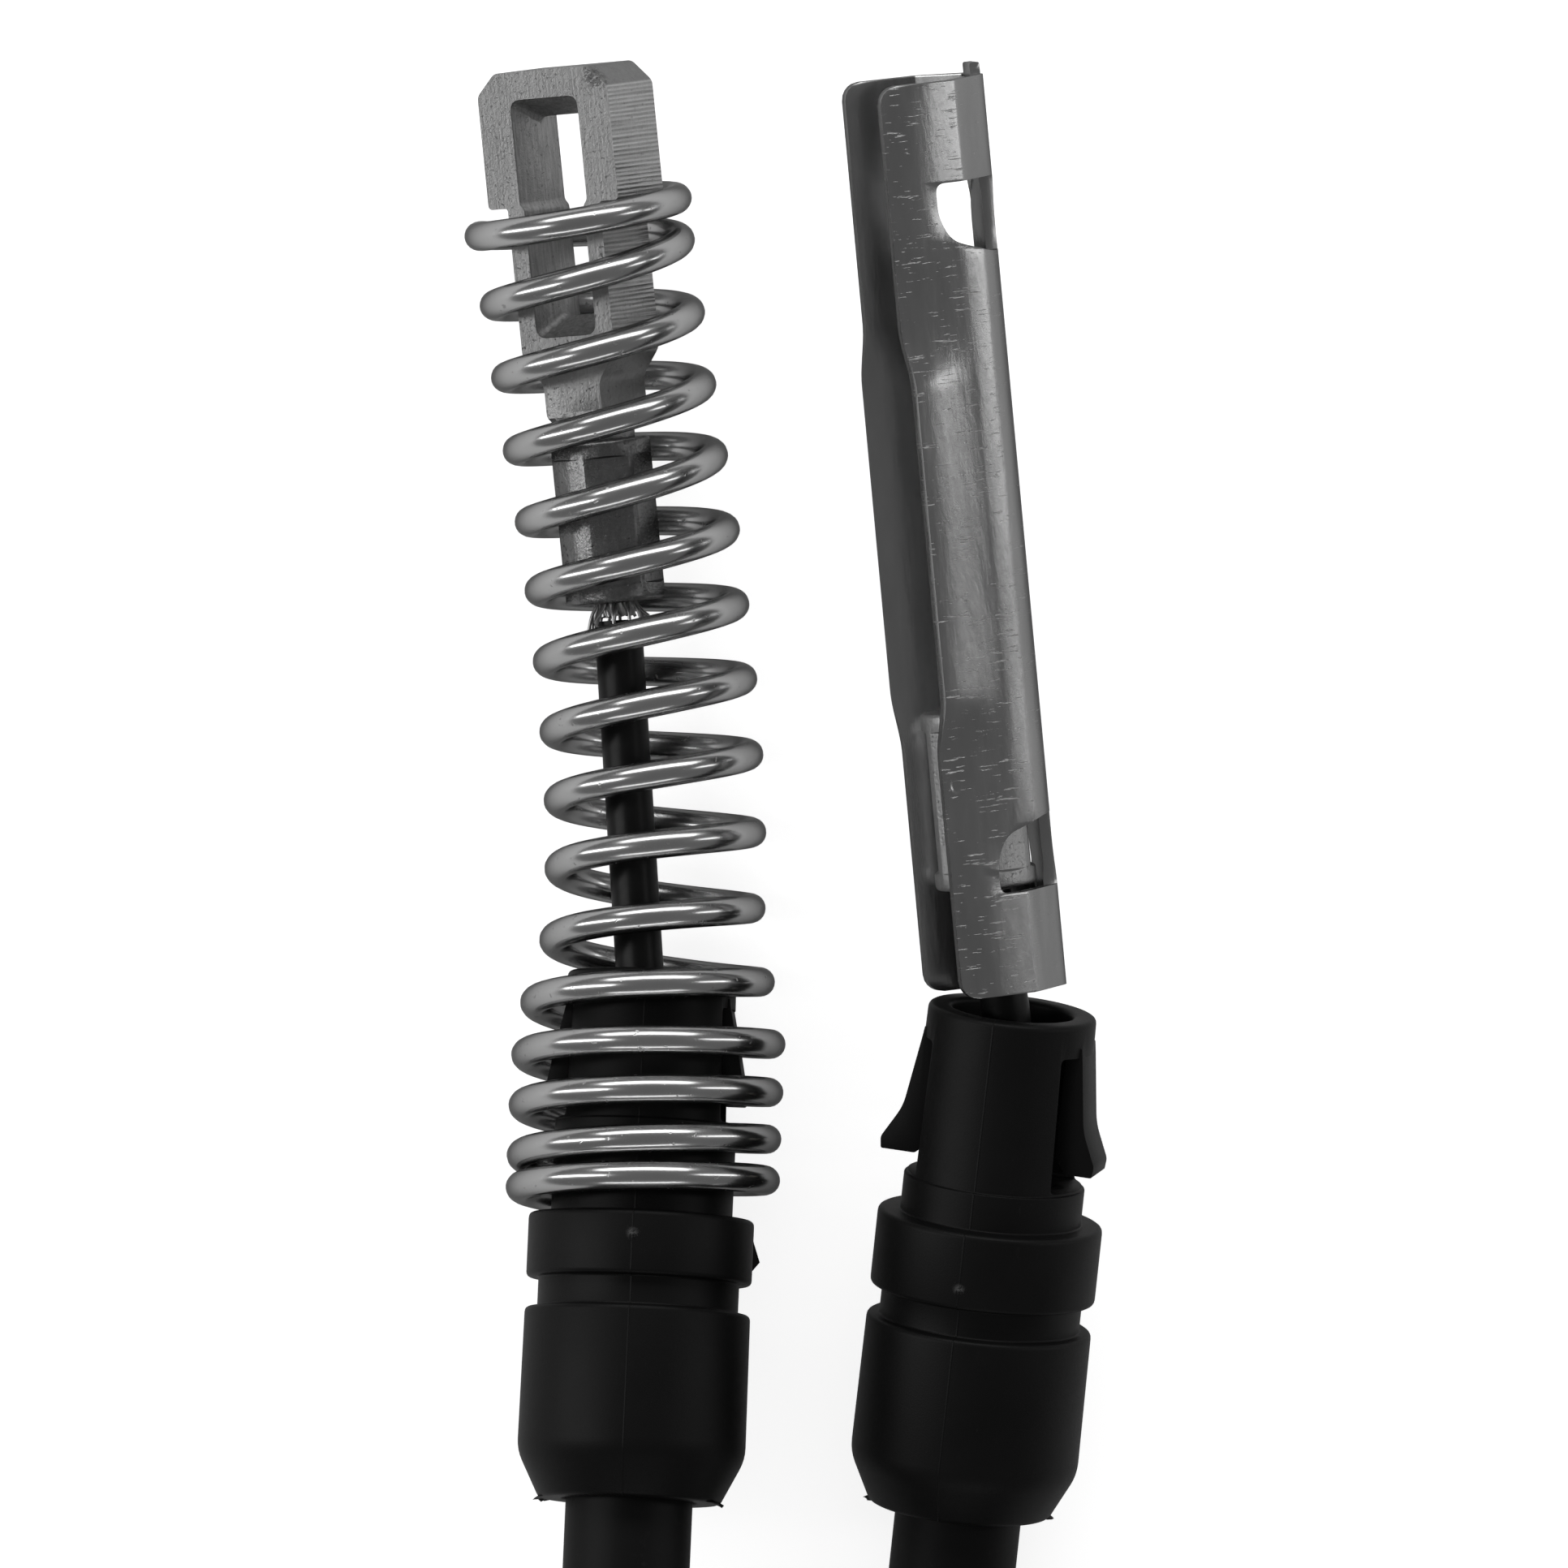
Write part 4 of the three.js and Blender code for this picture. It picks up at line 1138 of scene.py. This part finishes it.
def channel_section(y, web_steps=36):
    """The folded sheet's section at height y: sharp bends in the necks, a round web between them."""
    from_end = min(y, channel_length - y)

    def ease(a, b):
        t = min(max((from_end - a) / (b - a), 0.0), 1.0)
        return t * t * (3 - 2 * t)
    rounding = ease(7.8, 13.5)
    opening = ease(18.6, 23.4) * 0.9
    web_x = channel_depth / 2 - sheet / 2
    half = channel_half_height - sheet / 2
    tip_round = 1.4
    recess = 0.0
    if from_end < tip_round:
        recess = tip_round - math.sqrt(max(0.0, tip_round ** 2 - (tip_round - from_end) ** 2))
    tip_front = -channel_depth / 2 + recess + opening * 0.5
    tip_back = -channel_depth / 2 + recess - opening * 0.35
    shoulder, bend, flat_half = 0.2, 0.32, 1.5
    path = [(tip_front, half + opening), ((tip_front + shoulder) / 2, half + opening * 0.5)]
    for i in range(web_steps + 1):
        s = i / web_steps
        cosine, sine = math.cos(s * math.pi), math.sin(s * math.pi)
        soft = (
            shoulder + (web_x - shoulder) * max(sine, 0.0) ** 0.8,
            half * math.copysign(abs(cosine) ** 0.9, cosine),
        )
        if s < bend:
            sharp = (1.0 + (web_x - 1.0) * s / bend, half - (half - flat_half) * s / bend)
        elif s > 1 - bend:
            sharp = (1.0 + (web_x - 1.0) * (1 - s) / bend, -half + (half - flat_half) * (1 - s) / bend)
        else:
            sharp = (web_x, flat_half - 2 * flat_half * (s - bend) / (1 - 2 * bend))
        path.append(tuple(a + (b - a) * rounding for a, b in zip(sharp, soft)))
    path += [((tip_back + shoulder) / 2, -half - opening * 0.5), (tip_back, -half - opening)]
    path = [Vector(p) for p in path]

    def offset(amount):
        ring = []
        for i, p in enumerate(path):
            along = (path[min(i + 1, len(path) - 1)] - path[max(i - 1, 0)]).normalized()
            ring.append((p.x - along.y * amount, y, p.y + along.x * amount))
        return ring
    return offset(sheet / 2) + offset(-sheet / 2)[::-1]


def channel_piece():
    frame_here = placed(channel_foot, channel_turn)
    ends = [0, 0.12, 0.3, 0.55, 0.9, 1.4]
    stations = ends + [1.4 + 0.62 * i for i in range(1, 110)]
    stations = [y for y in stations if y < channel_length / 2]
    stations += [channel_length - y for y in reversed(stations)]
    body = skin("folded_channel", [channel_section(y) for y in stations], frame_here, sheet_zinc, True)
    cutters = []
    for top in (False, True):
        for front in (-1, 1):
            cutters.append(channel_window(top, front, frame_here))
    cut_or_join(body, cutters, "DIFFERENCE")
    nib = prism("nib", rounded_profile([
        (3.9, channel_length - 0.6, 0), (4.72, channel_length - 0.6, 0), (4.72, channel_length + 0.9, 0.2),
        (3.9, channel_length + 0.9, 0.2),
    ]), -0.9, 0.9, frame_here, sheet_zinc)
    cut_or_join(body, [nib], "UNION")
    rounded_edges(body, 0.1, 40, 2)
    return smooth(body, 40)


def channel_window(top, front, matrix):
    web_side, near, reach, far = channel_depth / 2 + 2, 7.8, channel_depth / 2 - 5.7, 13.5
    corners = [
        (web_side, near, 0), (reach, near, 0.75), (reach, near + 2.6, 1.0),
        (reach + 0.9, far - 1.2, 1.2), (channel_depth / 2 - 1.2, far, 0.8), (web_side, far, 0),
    ]
    outline = rounded_profile(corners, 6)
    if top:
        outline = [(x, channel_length - y) for x, y in outline]
    low_z, high_z = (1.55, 12) if front > 0 else (-12, -1.55)
    return prism("window", outline, low_z, high_z, matrix, sheet_zinc)


keep(channel_piece(), "lever_end", "plated_sheet", "connector_channel")

stop_frame = placed(stop_foot_plan, channel_turn @ Matrix.Rotation(math.radians(12), 4, "Y"))
# a lighter copy of cast_steel for the stop, with a higher base tone and no crimp darkening: painted light
# where the channel's flange shades the stop
stop_steel_painted_lit = forged_steel("cast_steel_stop_painted_lit", stop_frame, 0.0, 0.2)
stop = crimped("barrel", 3.9, 7.1, 13.7, 1.7, 20, stop_frame, stop_steel_painted_lit)
rounded_edges(stop, 0.15, 30, 2)
keep(smooth(stop, 36), "lever_end", "cast_steel", "barrel_stop")
rope("stop_rope_end", 12.7, stop_frame, "lever_end", "lever_end_strand")
